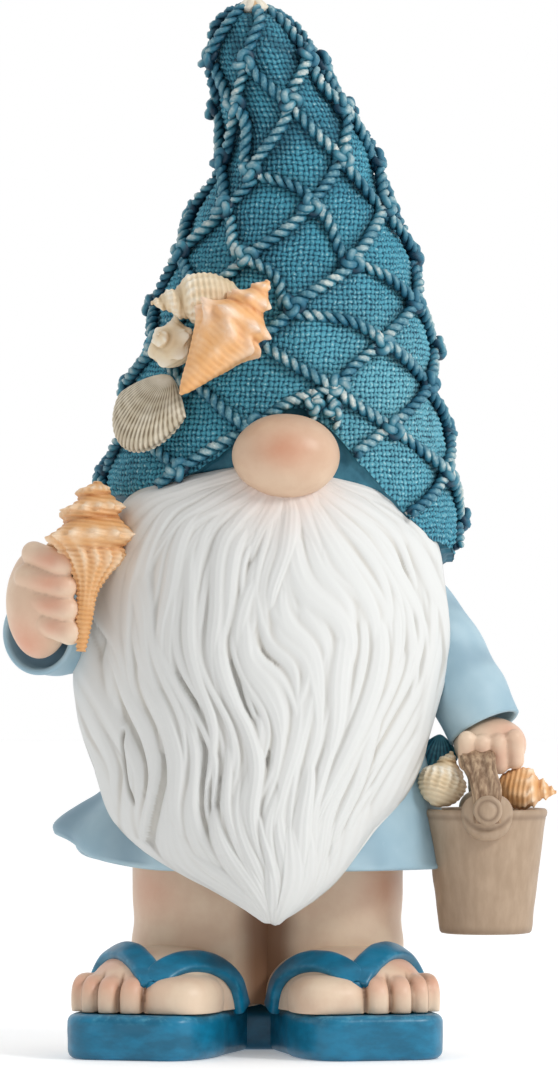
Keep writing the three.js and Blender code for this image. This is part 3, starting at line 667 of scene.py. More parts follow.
def cord_distance(angle, height):
    """Millimetres along the hat to the nearest cord of the net."""
    to_angle, to_height = angle, height
    for _ in range(2):
        moved = pulled(angle, height)
        angle, height = angle + to_angle - moved[0], height + to_height - moved[1]
    ring = np.interp(height, RING_HEIGHTS, RINGS)
    half_step = (angle - FRONT - NET_PHASE - (8 - ring) * NET_TWIST) / (NET_SPACING / 2)
    radius = hat_shape(height, 1)
    nearest = np.full(np.broadcast(angle, height).shape, 99.0)
    for way in (1, -1):
        off = half_step - way * ring
        off = np.abs(off - 2 * np.round(off / 2)) * NET_SPACING / 2 * radius
        nearest = np.minimum(nearest, off * 0.6)
    return nearest


def hat_surface(angle, height, edge):
    """Outer cloth with its weave, slack, dents under the cords and a bulky brim."""
    u = angle_between(angle, FRONT) * hat_shape(height, 1) / THREAD
    v = height / THREAD
    weave = 0.5 * (np.sin(math.pi * u) ** 2 + np.sin(math.pi * v) ** 2)
    thick = 0.55 + 0.5 * hashed(np.floor(u), seed=2) + 0.5 * hashed(np.floor(v), seed=3)
    base = hat_point(angle, height, 0.0)
    slack = 0.8 * noise3(base, 13.0, 4) + 0.4 * noise3(base, 5.0, 5)
    brim = bump(height - edge, 7.0)
    curls = noise3(base, 2.3, 6)
    near = bump(cord_distance(angle, height), 2.6)
    grow = 0.95 * (weave - 0.5) * thick + slack - 0.5 * near + brim * (0.9 * curls + 0.6)
    grow = grow * smoothstep(-0.2, 2.0, height - edge) - 0.3
    slide = 0.5 * noise3(base, 6.0, 7) / hat_shape(height, 1)
    inside = (height - edge > 0.5) & (height < HAT_TOP - 3)
    lift = 0.5 * noise3(base, 6.0, 8) * inside
    # the second value, high beside the cords, sets the painted shade there
    return hat_point(angle + slide, height + lift, grow), near * (1 - 0.5 * brim)


# the smooth lip behind the cloth's edge: share of the way to the brim, and how far inward
LIP = [(0.9, 17.0), (1.0, 9.0), (1.0, 6.0), (0.97, 4.6), (0.85, 3.7), (0.65, 3.2),
       (0.45, 2.9), (0.28, 2.7), (0.16, 2.5), (0.08, 2.1), (0.03, 1.4), (0.0, 0.6)]
DOME_RINGS = 8
DOME_RISE = 2.6


def build_hat():
    step = THREAD / 2
    columns = 2 * int(math.pi * HAT_WIDEST / step) + 1
    flat_u = (np.arange(columns) - columns // 2) * step
    heights = np.arange(math.ceil(HAT_LOW / step), int((HAT_TOP - 0.3) / step) + 1) * step
    height = np.repeat(heights[:, None], columns, 1)
    around = np.clip(flat_u[None, :] / hat_shape(height, 1), -math.pi, math.pi)
    angle = around + FRONT
    edge = fabric_edge(angle)
    height = np.maximum(height, edge)
    points, near = hat_surface(angle, height, edge)
    u = around * hat_shape(height, 1) / THREAD
    v = height / THREAD
    # the crown closes over the top in a low dome
    crest = np.array([hat_shape(HAT_TOP, 0), 0.0, 0.0])
    rim = points[-1] - crest
    dome = []
    for lean in np.arange(1, DOME_RINGS + 1) / DOME_RINGS * math.pi / 2:
        ring = rim * (math.cos(lean), math.cos(lean), 1) + crest
        dome.append(ring + (0, 0, DOME_RISE * math.sin(lean)))
    points = np.concatenate([points, dome])
    # painted highlight: a pale patch low on the front, towards the gnome's left, where the key
    # light falls
    painted_highlight = bump(np.hypot(points[..., 0] - 38, points[..., 2] - 205), 30)
    painted_highlight = painted_highlight * smoothstep(0.0, 0.3, -points[..., 1] / 50)
    near = np.concatenate([near, np.repeat(near[-1:], DOME_RINGS, 0)])
    u = np.concatenate([u, u[-1:] * np.linspace(0.9, 0.1, DOME_RINGS)[:, None]])
    v = np.concatenate([v, v[-1:] + np.arange(1, DOME_RINGS + 1)[:, None] * 0.8])
    level, first = edge[0], angle[0]
    drop = brim_level(first) - 1.5 - level
    under = np.stack([hat_point(first, level + drop * share, -inward) for share, inward in LIP])

    def spread(values, lip_value):
        return np.concatenate([np.full(under.shape[:2], lip_value), values]).ravel()

    # painted shade beside the cords, and a little on the lip under the brim
    extra = {"fabric": spread(np.ones(near.shape), 0.0), "wash": spread(near, 0.15),
             "painted_highlight": spread(painted_highlight, 0.0), "u": spread(u, 0.0), "v": spread(v, 0.0)}
    everything = np.concatenate([under, points])
    faces = grid_quads(len(everything), columns, False)
    flat, faces, extra = weld(everything.reshape(-1, 3), faces, extra)
    uv = np.stack([extra.pop("u"), extra.pop("v")], -1)
    make_object("hat_cloth", flat, faces, "hat", "hat_shell", extra, uv)


def net_path(strand, way, ring):
    angle = (FRONT + NET_PHASE + strand * NET_SPACING + way * ring * NET_SPACING / 2
             + (8 - ring) * NET_TWIST)
    angle, height = pulled(angle, ring_height(ring))
    over = 0.7 * np.cos(math.pi * (ring + strand)) * way
    return hat_point(angle, height, 1.15 + over), angle, height


def hat_normal(angle, height):
    lean = (hat_shape(height + 1, 1) - hat_shape(height - 1, 1)) / 2
    return unit(stacked(np.cos(angle) * HAT_DEPTH_RATIO, np.sin(angle), -lean))


def add_rope(parts, path, out, lay, ply, offset, phase=0.0):
    """Two plies twisted right-handed about a path, which lies on the hat."""
    turns = lengths(path) / lay
    out, side = section_axes(path, out)
    full = offset + np.max(ply)
    for k in (0, 1):
        turn = 2 * math.pi * (turns + k / 2) + phase
        away = out * np.cos(turn)[:, None] + side * np.sin(turn)[:, None]
        skin = tube(path + away * offset, away, ply, np.asarray(ply) * 1.05, 7)
        from_core = skin - path[:, None]
        # rise: low where a ply faces the hat and between the plies, which the rope paint darkens as
        # painted shade; high on the outer tops, which it paints pale as dry-brush that also stands
        # in for highlights
        rise = (from_core * out[:, None]).sum(-1) / full
        spread = np.linalg.norm(from_core, axis=-1) / full
        parts.add(skin, rise=rise * 0.55 + spread * 0.75 - 0.3)


def add_knot(parts, centre, out, size, turn):
    """A small overhand knot of cord."""
    t = np.linspace(0, 2 * math.pi, 40, endpoint=False)
    loop = stacked(np.sin(t) + 2 * np.sin(2 * t), np.cos(t) - 2 * np.cos(2 * t),
                   -np.sin(3 * t) * 1.1) * size / 3
    points = place(np.concatenate([loop, loop[:1]]), centre, out, turn)
    away = unit(points - centre + np.array(out) * 0.5)
    skin = tube(points, away, size * 0.42, size * 0.42, 7)
    # rise: low against the hat, darkened as painted shade; high on the outer side, painted pale as
    # dry-brush that also stands in for highlights
    rise = ((skin - centre) @ np.array(out)) / size * 0.9 + 0.1
    parts.add(skin, caps=False, rise=rise)


CORD_STEP = 0.95
ROPE_LAY = 7.0
PLY_RADIUS = 1.12
PLY_OFFSET = 0.98
KNOT_SIZE = 3.1
LOW_RING, HIGH_RING = -2, 10.15


def add_cord(parts, strand, way):
    """One of the fourteen cords that wind up the hat; half of them meet over its crest."""
    ring = np.linspace(LOW_RING, HIGH_RING if way == 1 else 9.0, 500)
    path, angle, height = net_path(strand, way, ring)
    first = np.argmax(height > fabric_edge(angle) + 0.5)
    path, angle, height = path[first:], angle[first:], height[first:]
    out = hat_normal(angle, height)
    if way == 1:
        crest = np.array([hat_shape(HAT_TOP, 0), 0.0, HAT_TOP + 3.2])
        share = np.linspace(0.12, 0.85, 8)[:, None]
        dome = path[-1] * (1 - share) + crest * share
        dome[:, 2] += 1.6 * np.sin(math.pi * share[:, 0])
        path = np.concatenate([path, dome])
        out = np.concatenate([out, unit(out[-1] * (1 - share) + np.array([0, 0, 1.0]) * share)])
    count = int(lengths(path)[-1] / CORD_STEP)
    at = np.linspace(0, 1, count)
    out = resample(path, count, out)
    path = resample(path, count)
    path = path + 0.35 * out * noise2(at * count / 9, float(strand), 11)[:, None]
    swell = 1 + 0.12 * noise2(at * count / 6, strand + 9.0, 12)
    add_rope(parts, path, out, ROPE_LAY, PLY_RADIUS * swell, PLY_OFFSET, strand * 2.1 + way)


def build_net():
    parts = Parts()
    for strand in range(NET_KNOTS):
        for way in (1, -1):
            add_cord(parts, strand, way)
    for ring in range(-1, 10):
        for strand in range(NET_KNOTS):
            _, angle, height = net_path(strand, 1, np.array([float(ring)]))
            if height[0] < fabric_edge(angle)[0] + 1.0:
                continue
            centre = hat_point(angle, height, 2.3)[0]
            turn = float(6.28 * hashed(float(strand), float(ring)))
            add_knot(parts, centre, hat_normal(angle, height)[0], KNOT_SIZE, turn)
    # two loose tails on the front
    forward = np.array([0.0, -1.0, 0.2])
    for x, z, lean in ((10.5, 207.5, -0.3), (15.0, 206.0, 0.5)):
        angle = -math.acos((x - hat_shape(z, 0)) / hat_shape(z, 1))
        top = hat_point(angle, z, 2.4)
        path = spline([top, top + (lean, -0.8, -3.5), top + (lean * 3, -0.6, -7.0),
                       top + (lean * 4, 0.2, -10.0)], 16)
        add_rope(parts, path, forward, 6.0, 1.0, 0.8)
        add_knot(parts, path[7] + (0, -0.5, 0), forward, 2.6, lean)
    parts.build("hat_net_rope", "rope", "net_teal", "hat_net")


TIP_CENTRE = np.array([-8.8, -1.0, 330.0])


def build_tip():
    """Cord ends gathered at the very top."""
    parts = Parts()
    for k in range(7):
        out = np.array([math.cos(k * 0.9), math.sin(k * 0.9), 0.0])
        arc = ((-4.4, -1.6), (-1.6, 0.6), (1.8, 0.9), (4.6, -1.8))
        path = spline([TIP_CENTRE + out * away + (0, 0, rise) for away, rise in arc], 16)
        skin = tube(path, np.array([0, 0, 1.0]), 1.5, 1.6, 8)
        # painted light: each cord end is paler on top and darker underneath
        top = smoothstep(-1, 1, (skin - path[:, None])[..., 2])
        parts.add(skin, ridge=0.3 + 0.7 * top, tint=1.0 if k == 2 else 0.0)
    parts.build("hat_tip_bundle", "tip_cream", "tip_cream", "hat_tip_knot")


# ---------------------------------------------------------------- shells

def whorled_shell(length, width, turns, knobs, knob_size, threads, profile, rows=160,
                  columns=112, thread_size=0.005):
    """Spired shell, siphon at -Z and apex at +Z, whorls winding down from the apex."""
    t = np.linspace(0.0, 1.0, rows)[:, None]
    around = full_turn(columns)
    spire = np.clip((1 - t) / 0.42, 0, 1)
    phase = turns * spire ** 0.6 + around / (2 * math.pi)
    part = phase - np.floor(phase)
    upper = smoothstep(0.5, 0.64, t)
    swell = np.minimum(part / 0.6, (1 - part) / 0.4) ** 0.8
    step = (0.3 * swell - 0.15) * upper
    shoulder = bump(part - 0.58, 0.17) * upper + bump(t - 0.58, 0.07) * (1 - upper)
    lumps = (np.cos(knobs * around + 1.1 * np.floor(phase) * upper) * 0.5 + 0.5) ** 1.5
    folds = lumps * smoothstep(0.12, 0.56, t) * (1 - upper)
    ribs = np.cos(2 * math.pi * threads * t + 0.7 * np.sin(3 * around))
    radius = width / 2 * profile(t) * (1 + step + knob_size * shoulder * lumps + 0.1 * folds)
    radius = radius + thread_size * width * ribs
    # the mouth: a long dent beside a raised lip on one side of the lower whorl
    lower = smoothstep(0.02, 0.14, t) * smoothstep(0.62, 0.5, t)
    dent = bump(angle_between(around, 1.7), 0.34) * lower
    lip = bump(angle_between(around, 1.1), 0.2) * lower
    radius = radius * (1 - 0.4 * dent + 0.14 * lip)
    points = ring_grid((0, 0), radius, around, (t - 0.5) * length)
    points = roughened(points, points * (1, 1, 0), 0.012 * width, 0.2 * width, 61)
    ridge = 0.5 + 0.07 * ribs + 0.5 * shoulder * lumps + 1.6 * step + 0.25 * folds
    tint = np.clip(0.9 * dent + shoulder * (0.3 + 0.6 * lumps) + 0.2 * folds, 0, 1)
    return points, np.clip(ridge, 0, 1), tint


stout_profile = smooth_table([
    (0.0, 0.03), (0.05, 0.17), (0.2, 0.44), (0.36, 0.7), (0.5, 0.93), (0.6, 1.0),
    (0.68, 0.84), (0.78, 0.58), (0.88, 0.36), (1.0, 0.05),
])
slender_profile = smooth_table([
    (0.0, 0.11), (0.15, 0.2), (0.36, 0.3), (0.5, 0.6), (0.6, 0.9), (0.67, 1.0),
    (0.78, 0.76), (0.88, 0.56), (0.95, 0.36), (1.0, 0.07),
])
round_profile = smooth_table([
    (0.0, 0.2), (0.08, 0.6), (0.25, 0.93), (0.42, 1.0), (0.58, 0.86), (0.7, 0.6),
    (0.84, 0.36), (1.0, 0.05),
])


def fan_shell(length, width, depth, ribs, rows=70, columns=150):
    """Two domed valves: ribs spread from a beak at +Z to a scalloped edge."""
    lean = np.linspace(-1, 1, columns)[None, :]
    s = np.linspace(0.0, 1.0, rows)[:, None] ** 0.8
    wave = np.cos(math.pi * ribs * lean)
    lines = np.cos(s * 40 + 0.6 * np.cos(3 * lean)) * smoothstep(0.1, 0.4, s)
    spread = lean * math.radians(62)
    reach = (0.62 + 0.38 * np.cos(spread * 0.9)) * (1 + 0.012 * wave)
    x = s ** 0.66 * reach * np.sin(spread) * (width / 2) / 0.68
    z = length / 2 - s * reach * np.cos(spread) * length * (1.0 - 0.06 * s)
    thin = np.sqrt(1 - np.abs(lean) ** 3)
    dome = (s ** 0.55) * np.sqrt(np.clip(1 - s ** 2.4, 0, 1)) * thin
    dome = dome * (1 + 0.05 * wave * s + 0.015 * lines)
    edge = 0.35 * thin * smoothstep(0.0, 0.2, s)
    front = stacked(x, -(dome * depth * 0.62 + edge), z)
    back = stacked(x, dome * depth * 0.38 + edge, z)[:, ::-1]
    points = np.concatenate([front, back], 1)
    ridge = np.clip(0.5 + 0.42 * wave * smoothstep(0.05, 0.3, s) + 0.14 * lines, 0, 1)
    tint = smoothstep(0.25, 0.05, s) * np.ones_like(wave)
    ridge, tint = (np.concatenate([half, half[:, ::-1]], 1)[::-1] for half in (ridge, tint))
    return points[::-1], ridge, tint


def add_shell(name, node, shell, centre, tip, roll, paint, slot):
    points, ridge, tint = shell
    parts = Parts().add(place(points, centre, tip, roll), ridge=ridge, tint=tint)
    parts.build(name, paint, slot, node)


def build_hat_shells():
    add_shell("hat_conch_shell", "hat_conch",
              whorled_shell(45, 21, 3.2, 7, 0.26, 24, stout_profile, 160, 112, 0.0035),
              (-17.4, -49.5, 224), (0.56, 0.1, 0.72), 0.35, "conch_orange", "shell_orange")
    add_shell("hat_whelk_shell", "hat_whelk",
              whorled_shell(28, 15.5, 2.6, 14, 0.05, 16, round_profile, 160, 112, 0.011),
              (-26.5, -38.5, 236.2), (-0.97, 0.0, -0.08), 0.17, "shell_tan", "shell_tan")
    add_shell("hat_knob", "hat_knob_shell",
              whorled_shell(15, 14.4, 1.8, 6, 0.3, 8, round_profile, 90, 90),
              (-34.3, -38, 222.6), (-0.5, -0.8, 0.4), 0.0, "shell_tan", "shell_tan")
    add_shell("hat_cockle_shell", "hat_cockle", fan_shell(29, 23.5, 12, 24),
              (-41.4, -38.5, 200.2), (0.44, 0.2, 0.83), -0.5, "cockle_grey", "shell_tan")


# ---------------------------------------------------------------- nose and head

def build_nose():
    direction = sphere_grid(90, 128)
    points = NOSE_CENTRE + direction * NOSE_RADII
    points = roughened(points, direction, 0.18, 9.0, 6)
    facing = np.clip(-direction[..., 1], 0, 1)
    blush = bump(direction[..., 0] + 0.05, 0.6) * bump(direction[..., 2] - 0.2, 0.5) * facing
    parts = Parts().add(points, blush=blush * 0.75, wash=0.0)
    parts.build("nose_ball", "nose", "skin_peach", "nose")


HEAD_CENTRE = np.array([-1.0, 0.0, 186.0])
HEAD_RADII = np.array([40.0, 36.0, 46.0])


def build_head():
    direction = sphere_grid(60, 96)
    parts = Parts().add(HEAD_CENTRE + direction * HEAD_RADII, blush=0.0, wash=0.0)
    parts.build("head_core", "skin", "skin_peach", "head")


# ---------------------------------------------------------------- beard

BODY_X = -5.0
BODY_Y = 3.0
BEARD_CENTRE = np.array([-6.0, 118.0])
BEARD_OUTLINE = [
    (18, 181), (34, 177), (47, 166), (52, 143), (53, 127), (48, 106), (41, 84), (28, 70),
    (16, 54), (-2.3, 42), (-18, 51), (-38, 61), (-52, 72), (-58, 90), (-64, 106), (-65, 127),
    (-60, 150), (-49, 173), (-33, 179.5), (-8, 184),
]


def reach_table():
    """How far the beard's outline is from its middle, all the way round."""
    p = np.array(BEARD_OUTLINE, float)
    outline = catmull(np.concatenate([p[-1:], p, p[:2]]), 12) - BEARD_CENTRE
    angle = np.arctan2(outline[:, 1], outline[:, 0])
    order = np.argsort(angle)
    angle, reach = angle[order], np.linalg.norm(outline, axis=1)[order]
    return (np.concatenate([angle - 2 * math.pi, angle, angle + 2 * math.pi]),
            np.tile(reach, 3))


REACH_ANGLES, REACHES = reach_table()


def beard_front(x, z):
    """Depth of the beard's smooth front over the body."""
    dx, dz = x - BEARD_CENTRE[0], z - BEARD_CENTRE[1]
    reach = np.interp(np.arctan2(dz, dx), REACH_ANGLES, REACHES)
    spread = np.clip(np.hypot(dx, dz) / reach, 0, 1)
    low = np.clip((90 - z) / 50, 0, None)
    wrap = -45 + 0.0088 * (x - BODY_X) ** 2 - 3 * low
    return wrap - 17 * np.sqrt(np.clip(1 - spread ** 2.6, 0, 1))


# the beard's two edges and its middle strand, as (x, z) from the nose to the tip
RIGHT_EDGE = [(-11, 184), (-22, 182.5), (-37, 179), (-49, 173), (-59, 151), (-64.8, 127),
              (-63.5, 105), (-58, 89), (-52, 73), (-38, 61.5), (-18, 51), (-4.8, 43.0)]
LEFT_EDGE = [(15, 182.5), (24, 180), (36, 176), (47, 166), (51.5, 148), (53, 127),
             (48.5, 106), (41, 84), (29, 70), (17, 54.5), (7, 47.0), (0.4, 43.0)]
MIDDLE = [(0.5, 178), (0, 165), (-0.5, 153), (-5.5, 137), (-9.5, 124), (-9, 113),
          (-4.5, 100), (-1, 86), (0, 72), (0.5, 58), (-2.3, 42.2)]


def beard_paths(a, v):
    """Follows a strand: a from -1 (its right edge) to 1, v from the nose to the tip."""
    at = np.linspace(0, 1, 300)

    def along(points):
        path = spline(points, 300)
        return np.stack([np.interp(v, at, path[:, k]) for k in (0, 1)], -1)

    edge = np.where((a < 0)[..., None], along(RIGHT_EDGE), along(LEFT_EDGE))
    amount = np.abs(a)
    core = along(MIDDLE)
    mixed = core + (edge - core) * amount[..., None]
    arch = 4 * amount * (1 - amount) * np.sin(math.pi * v)
    return mixed[..., 0], mixed[..., 1] + 2.0 * arch


def scatter_locks():
    """Start, length, place across, drift, wave, half width and rank of every lock."""
    locks = []
    for row, start in enumerate(np.arange(-0.24, 0.9, 0.075)):
        for column, across in enumerate(np.arange(-1.06, 1.07, 0.096)):
            if start > 0.3 and (column + 2 * row) % 3:
                continue
            r = [float(hashed(float(row), float(column), seed=70 + k)) for k in range(7)]
            drift = 0.16 * (r[3] - 0.5) + 0.13 * across * (1 - abs(start))
            locks.append((start + 0.09 * r[0], 0.24 + 0.3 * r[1], across + 0.1 * (r[2] - 0.5),
                          drift, 0.012 + 0.045 * r[4], 1.5 + 2.9 * r[5] ** 1.5, r[6]))
    return locks


def strand_height(a, v, x):
    """Relief of overlapping tapered locks with fine hairs along them, in millimetres."""
    swing = 0.11 + 0.07 * smoothstep(0.45, 0.75, v)
    sway = swing * np.sin(9.2 * v + 1.2 * a + 0.2) * np.sin(math.pi * v) ** 0.8
    sway = sway + 0.1 * noise2(a * 1.7, v * 2.8, 21) * smoothstep(0.0, 0.3, v)
    sway = sway + 0.03 * noise2(a * 4, v * 7, 22) * smoothstep(0.05, 0.4, v)
    b = a + sway
    share = np.maximum(np.abs(np.gradient(x, axis=1)) * (a.shape[1] - 1) / 2, 9)
    total = np.full(a.shape, -2.5)
    hairs = b * 24
    for start, length, middle, drift, wave, half, rank in scatter_locks():
        t = (v[:, 0] - start) / length
        rows = np.flatnonzero((t > 0) & (t < 1))
        t = t[rows, None]
        line = middle + drift * (t - 0.4) + wave * np.sin(2 * math.pi * (0.8 * t + rank))
        taper = np.sin(math.pi * t ** 0.7) ** 0.6
        half = half * (1 + 0.3 * smoothstep(0.2, 0.5, start))
        q = (b[rows] - line) * share[rows] / (half * (0.2 + 0.8 * taper))
        body = np.clip(1 - q * q, 0, 1) ** 0.6 * (0.35 + 0.65 * taper)
        rise = (1.3 + 0.42 * half) * body + 1.5 * rank + 0.3 * q - 2.5
        rise = np.where(np.abs(q) < 1, rise, -9.0)
        better = rise > total[rows]
        total[rows] = np.where(better, rise, total[rows])
        hairs[rows] = np.where(better, 0.55 * half * q + 7 * rank, hairs[rows])
    total = total + 0.08 * np.cos(2 * math.pi * hairs)

    def beside(step, axis=1):
        return (np.roll(total, step, axis) + np.roll(total, -step, axis)) / 2

    for axis in (0, 1):
        total = (beside(1, axis) + 2 * total) / 3
    total = total * (0.5 + 0.5 * np.sin(math.pi * np.clip(v ** 1.6, 0.01, 0.98)) ** 0.5)
    # ridge: low in the grooves between locks, which the beard paint darkens as painted shade
    ridge = 0.66 + 0.26 * (total - beside(7)) + 0.4 * (total - beside(3))
    return total, np.clip(ridge, 0, 1)


def slit(x, z):
    """One deep cut near the gnome's right edge of the beard."""
    along = (z - 78) / 25
    bow = 1.2 * np.sin(math.pi * np.clip(along, 0, 1))
    ends = smoothstep(0, 0.12, along) * smoothstep(1.0, 0.88, along)
    return bump(x + 45.6 + 3.6 * along + bow, 0.42) * ends


def build_beard():
    columns, back_columns, rows = 400, 18, 210
    v = 0.5 - 0.5 * np.cos(np.linspace(0.03, math.pi - 0.03, rows))
    v = (0.35 * v + 0.65 * np.linspace(0.004, 0.996, rows))[:, None]
    a, v = np.broadcast_arrays(np.linspace(-1, 1, columns), v)
    x, z = beard_paths(a, v)
    points = stacked(x, beard_front(x, z), z)
    normals = unit(np.cross(np.gradient(points, axis=1), np.gradient(points, axis=0)))
    normals = np.where(normals[..., 1:2] > 0, -normals, normals)
    height, ridge = strand_height(a, v, x)
    # the cut sinks the surface, and the beard paint darkens it as painted shade
    cut = slit(x, z)
    edge = np.clip((1 - np.abs(a)) * 9, 0.4, 1)
    points = points + normals * (height * edge - 1.8 * cut)[..., None]
    share = np.linspace(0, 1, back_columns + 2)[1:-1][None, :, None]
    back = points[:, -1:] * (1 - share) + points[:, :1] * share
    back[..., 1] += 10 * np.sin(math.pi * share[..., 0]) * np.sin(math.pi * v[:, :1])
    blush = bump(np.abs(a) - 0.3, 0.45) * bump(v, 0.1)
    spare = np.zeros(back.shape[:2])
    parts = Parts().add(np.concatenate([points, back], 1)[::-1],
                        ridge=np.concatenate([ridge, spare + 0.5], 1)[::-1],
                        cut=np.concatenate([cut, spare], 1)[::-1],
                        blush=np.concatenate([blush, spare], 1)[::-1])
    parts.build("beard_strands", "beard", "beard_white", "beard")


# ---------------------------------------------------------------- clothes

BODY_DEPTH_RATIO = 0.82
HEM_HEIGHT = 58.0
tunic_profile = smooth_table([
    (58, 58), (66, 57), (76, 55), (90, 52.5), (106, 50.5), (122, 49), (138, 48),
    (149, 45.5), (158, 40), (165, 26), (168, 2),
])
# how far the hem turns out at the gnome's right
flare_profile = smooth_table([
    (58, 7.5), (62, 8.8), (66, 6.5), (70, 2.5), (76, -3.5), (84, -3.5), (92, -1), (100, 0),
])


def tunic_point(angle, height, grow):
    loose = np.clip(1 - (height - HEM_HEIGHT) / 60, 0, None)
    corner = angle_between(angle, math.radians(187))
    right_corner = flare_profile(height) * bump(corner, math.radians(24))
    right_corner = right_corner + 1.5 * np.cos(corner * 15) * bump(corner, 0.6) * loose ** 2
    left_corner = 6 * bump(angle_between(angle, math.radians(-29)), math.radians(16))
    folds = 1.6 * np.cos(7 * angle + 0.6)
    radius = tunic_profile(height) + right_corner + loose * (left_corner + folds) + grow
    lift = np.clip(1 - (height - HEM_HEIGHT) / 50, 0, None)
    z = height + lift * 10 * bump(corner, math.radians(22))
    x = BODY_X + radius * np.cos(angle)
    y = BODY_Y + BODY_DEPTH_RATIO * radius * np.sin(angle)
    return stacked(x, y, z)


# the turned-up hem, as (height, inset) from the inside outwards
HEM = [(67, -8), (66, -6), (62, -5), (59, -4.4), (58.1, -3.4), (57.9, -1.8), (58.1, -0.6),
       (58.8, 0.0)]


def build_tunic():
    columns = 220
    angle = full_turn(columns)
    rows = [tunic_point(angle, float(height), inset)[0] for height, inset in HEM]
    # painted shade inside the turned-up hem
    wash = [np.full(columns, 0.7 if inset < -4 else 0.0) for _, inset in HEM]
    # painted shade on the flared corner at the gnome's right, the side away from the key light
    dark = 0.42 * bump(angle_between(angle[0], math.radians(208)), 0.7)
    for height in np.concatenate([np.linspace(60, 150, 90), np.linspace(151, 167.9, 26)]):
        fold = np.cos(13 * angle + 0.05 * height) * np.clip(1 - (height - HEM_HEIGHT) / 45, 0, 1)
        crease = noise2(angle * 5, height / 14, 31)
        rows.append(tunic_point(angle, height, 0.5 * fold + 0.5 * crease)[0])
        # painted shade fading up from the hem on that corner, and darker in the fold troughs
        shade = dark * np.clip(1 - (height - 60) / 60, 0, 1)
        wash.append(np.clip(shade - fold[0] * 0.3, 0, 1))
    parts = Parts().add(np.stack(rows), wash=np.stack(wash))
    parts.build("tunic_cloth", "cloth", "tunic_blue", "tunic")


# the rolled cuff: share of the sleeve's radius, move along the arm, and painted shade inside the
# opening
CUFF_ROLL = [(1.0, 0.9, 0.0), (0.95, 1.4, 0.0), (0.88, 1.2, 0.1), (0.84, 0.2, 0.5),
             (0.8, -3, 0.9)]
SHOULDER_RADIUS = 12.5


def build_sleeve(name, node, points, cuff):
    """A soft tube with a rolled cuff around a shallow opening."""
    rows, sides = 70, 90
    path = spline(points, rows)
    t = np.linspace(0, 1, rows)[:, None]
    radius = SHOULDER_RADIUS + (cuff - SHOULDER_RADIUS) * t[:, 0]
    skin = tube(path, np.array([0.0, -1.0, 0.25]), radius, radius, sides)
    along = t * 60
    turn = full_turn(sides)
    wrinkle = 0.35 * np.sin(along / 3.4 + 2 * np.sin(turn)) * bump(t - 0.45, 0.2)
    wrinkle = wrinkle + 0.5 * noise2(along / 7, np.cos(turn) * 1.6 + 3, 41)
    wrinkle = wrinkle * smoothstep(1.0, 0.86, t)
    skin = skin + unit(skin - path[:, None]) * wrinkle[..., None]
    tangent = unit(path[-1] - path[-2])
    rim = skin[-1:] - path[-1]
    roll = [path[-1] + rim * share + tangent * move for share, move, _ in CUFF_ROLL]
    # painted shade in the hollows of the wrinkles and down into the cuff's opening
    wash = [np.full((1, sides), dark) for _, _, dark in CUFF_ROLL]
    parts = Parts().add(np.concatenate([skin, *roll]),
                        wash=np.concatenate([np.clip(-wrinkle, 0, 1), *wash]))
    parts.build(name, "cloth", "tunic_blue", node)


def build_sleeves():
    build_sleeve("right_sleeve_cloth", "right_sleeve",
                 [(-34, 3, 140), (-52, 1, 136), (-67, -7, 132), (-75.5, -21, 132)], 13.2)
    build_sleeve("left_sleeve_cloth", "left_sleeve",
                 [(32, 3, 148), (45, 0, 136), (56, -6, 119), (63.8, -11, 103)], 12.0)


# ---------------------------------------------------------------- skin pieces from rounded lumps

def soft_block(centre, radii, power, rows=36, columns=48):
    """A lump between an ellipsoid, at a power of 2, and a box."""
    direction = sphere_grid(rows, columns)
    size = (np.abs(direction) ** power).sum(-1, keepdims=True) ** (1 / power)
    return np.array(centre, float) + direction / size * np.array(radii, float)


def capsule(start, end, radius):
    start, end = np.array(start, float), np.array(end, float)
    axis = unit(end - start)
    t = np.linspace(-math.pi / 2, math.pi / 2, 18)
    share = np.repeat([0.0, 1.0], 9)
    path = start + (end - start) * share[:, None] + axis * (radius * np.sin(t))[:, None]
    wide = np.maximum(radius * np.cos(t), 0.05)
    return tube(path, np.cross(axis, (0.3, 0.5, 0.81)), wide, wide, 24)


def fused(parts, voxel, smooth):
    """Melts overlapping lumps into one skin and returns its points and faces."""
    mesh = bpy.data.meshes.new("lumps")
    points = np.concatenate(parts.points)
    mesh.from_pydata(points.tolist(), [], parts.faces)
    shape = link_object("lumps", mesh)
    remesh = shape.modifiers.new("remesh", "REMESH")
    remesh.mode = "VOXEL"
    remesh.voxel_size = voxel
    relax = shape.modifiers.new("relax", "SMOOTH")
    relax.factor = 0.5
    relax.iterations = smooth
    ready = shape.evaluated_get(bpy.context.evaluated_depsgraph_get()).to_mesh()
    flat = np.empty(len(ready.vertices) * 3)
    ready.vertices.foreach_get("co", flat)
    faces = [list(p.vertices) for p in ready.polygons]
    bpy.data.objects.remove(shape)
    bpy.data.meshes.remove(mesh)
    return flat.reshape(-1, 3), faces


def crease_painted_shade(points, faces, reach, strength):
    """How far each point lies in a crease, from the bend of the skin around it."""
    quads = np.array([f if len(f) == 4 else f + f[-1:] for f in faces])
    total = np.zeros_like(points)
    count = np.zeros(len(points))
    for k in range(4):
        a, b = quads[:, k], quads[:, (k + 1) % 4]
        np.add.at(total, a, points[b])
        np.add.at(count, a, 1)
        np.add.at(total, b, points[a])
        np.add.at(count, b, 1)
    mean = total / np.maximum(count, 1)[:, None]
    p = points[quads]
    face_normal = np.cross(p[:, 2] - p[:, 0], p[:, 3] - p[:, 1])
    normal = np.zeros_like(points)
    for k in range(4):
        np.add.at(normal, quads[:, k], face_normal)
    normal = unit(normal)
    bend = ((mean - points) * normal).sum(-1)
    return np.clip((bend - reach) * strength, 0, 1), normal


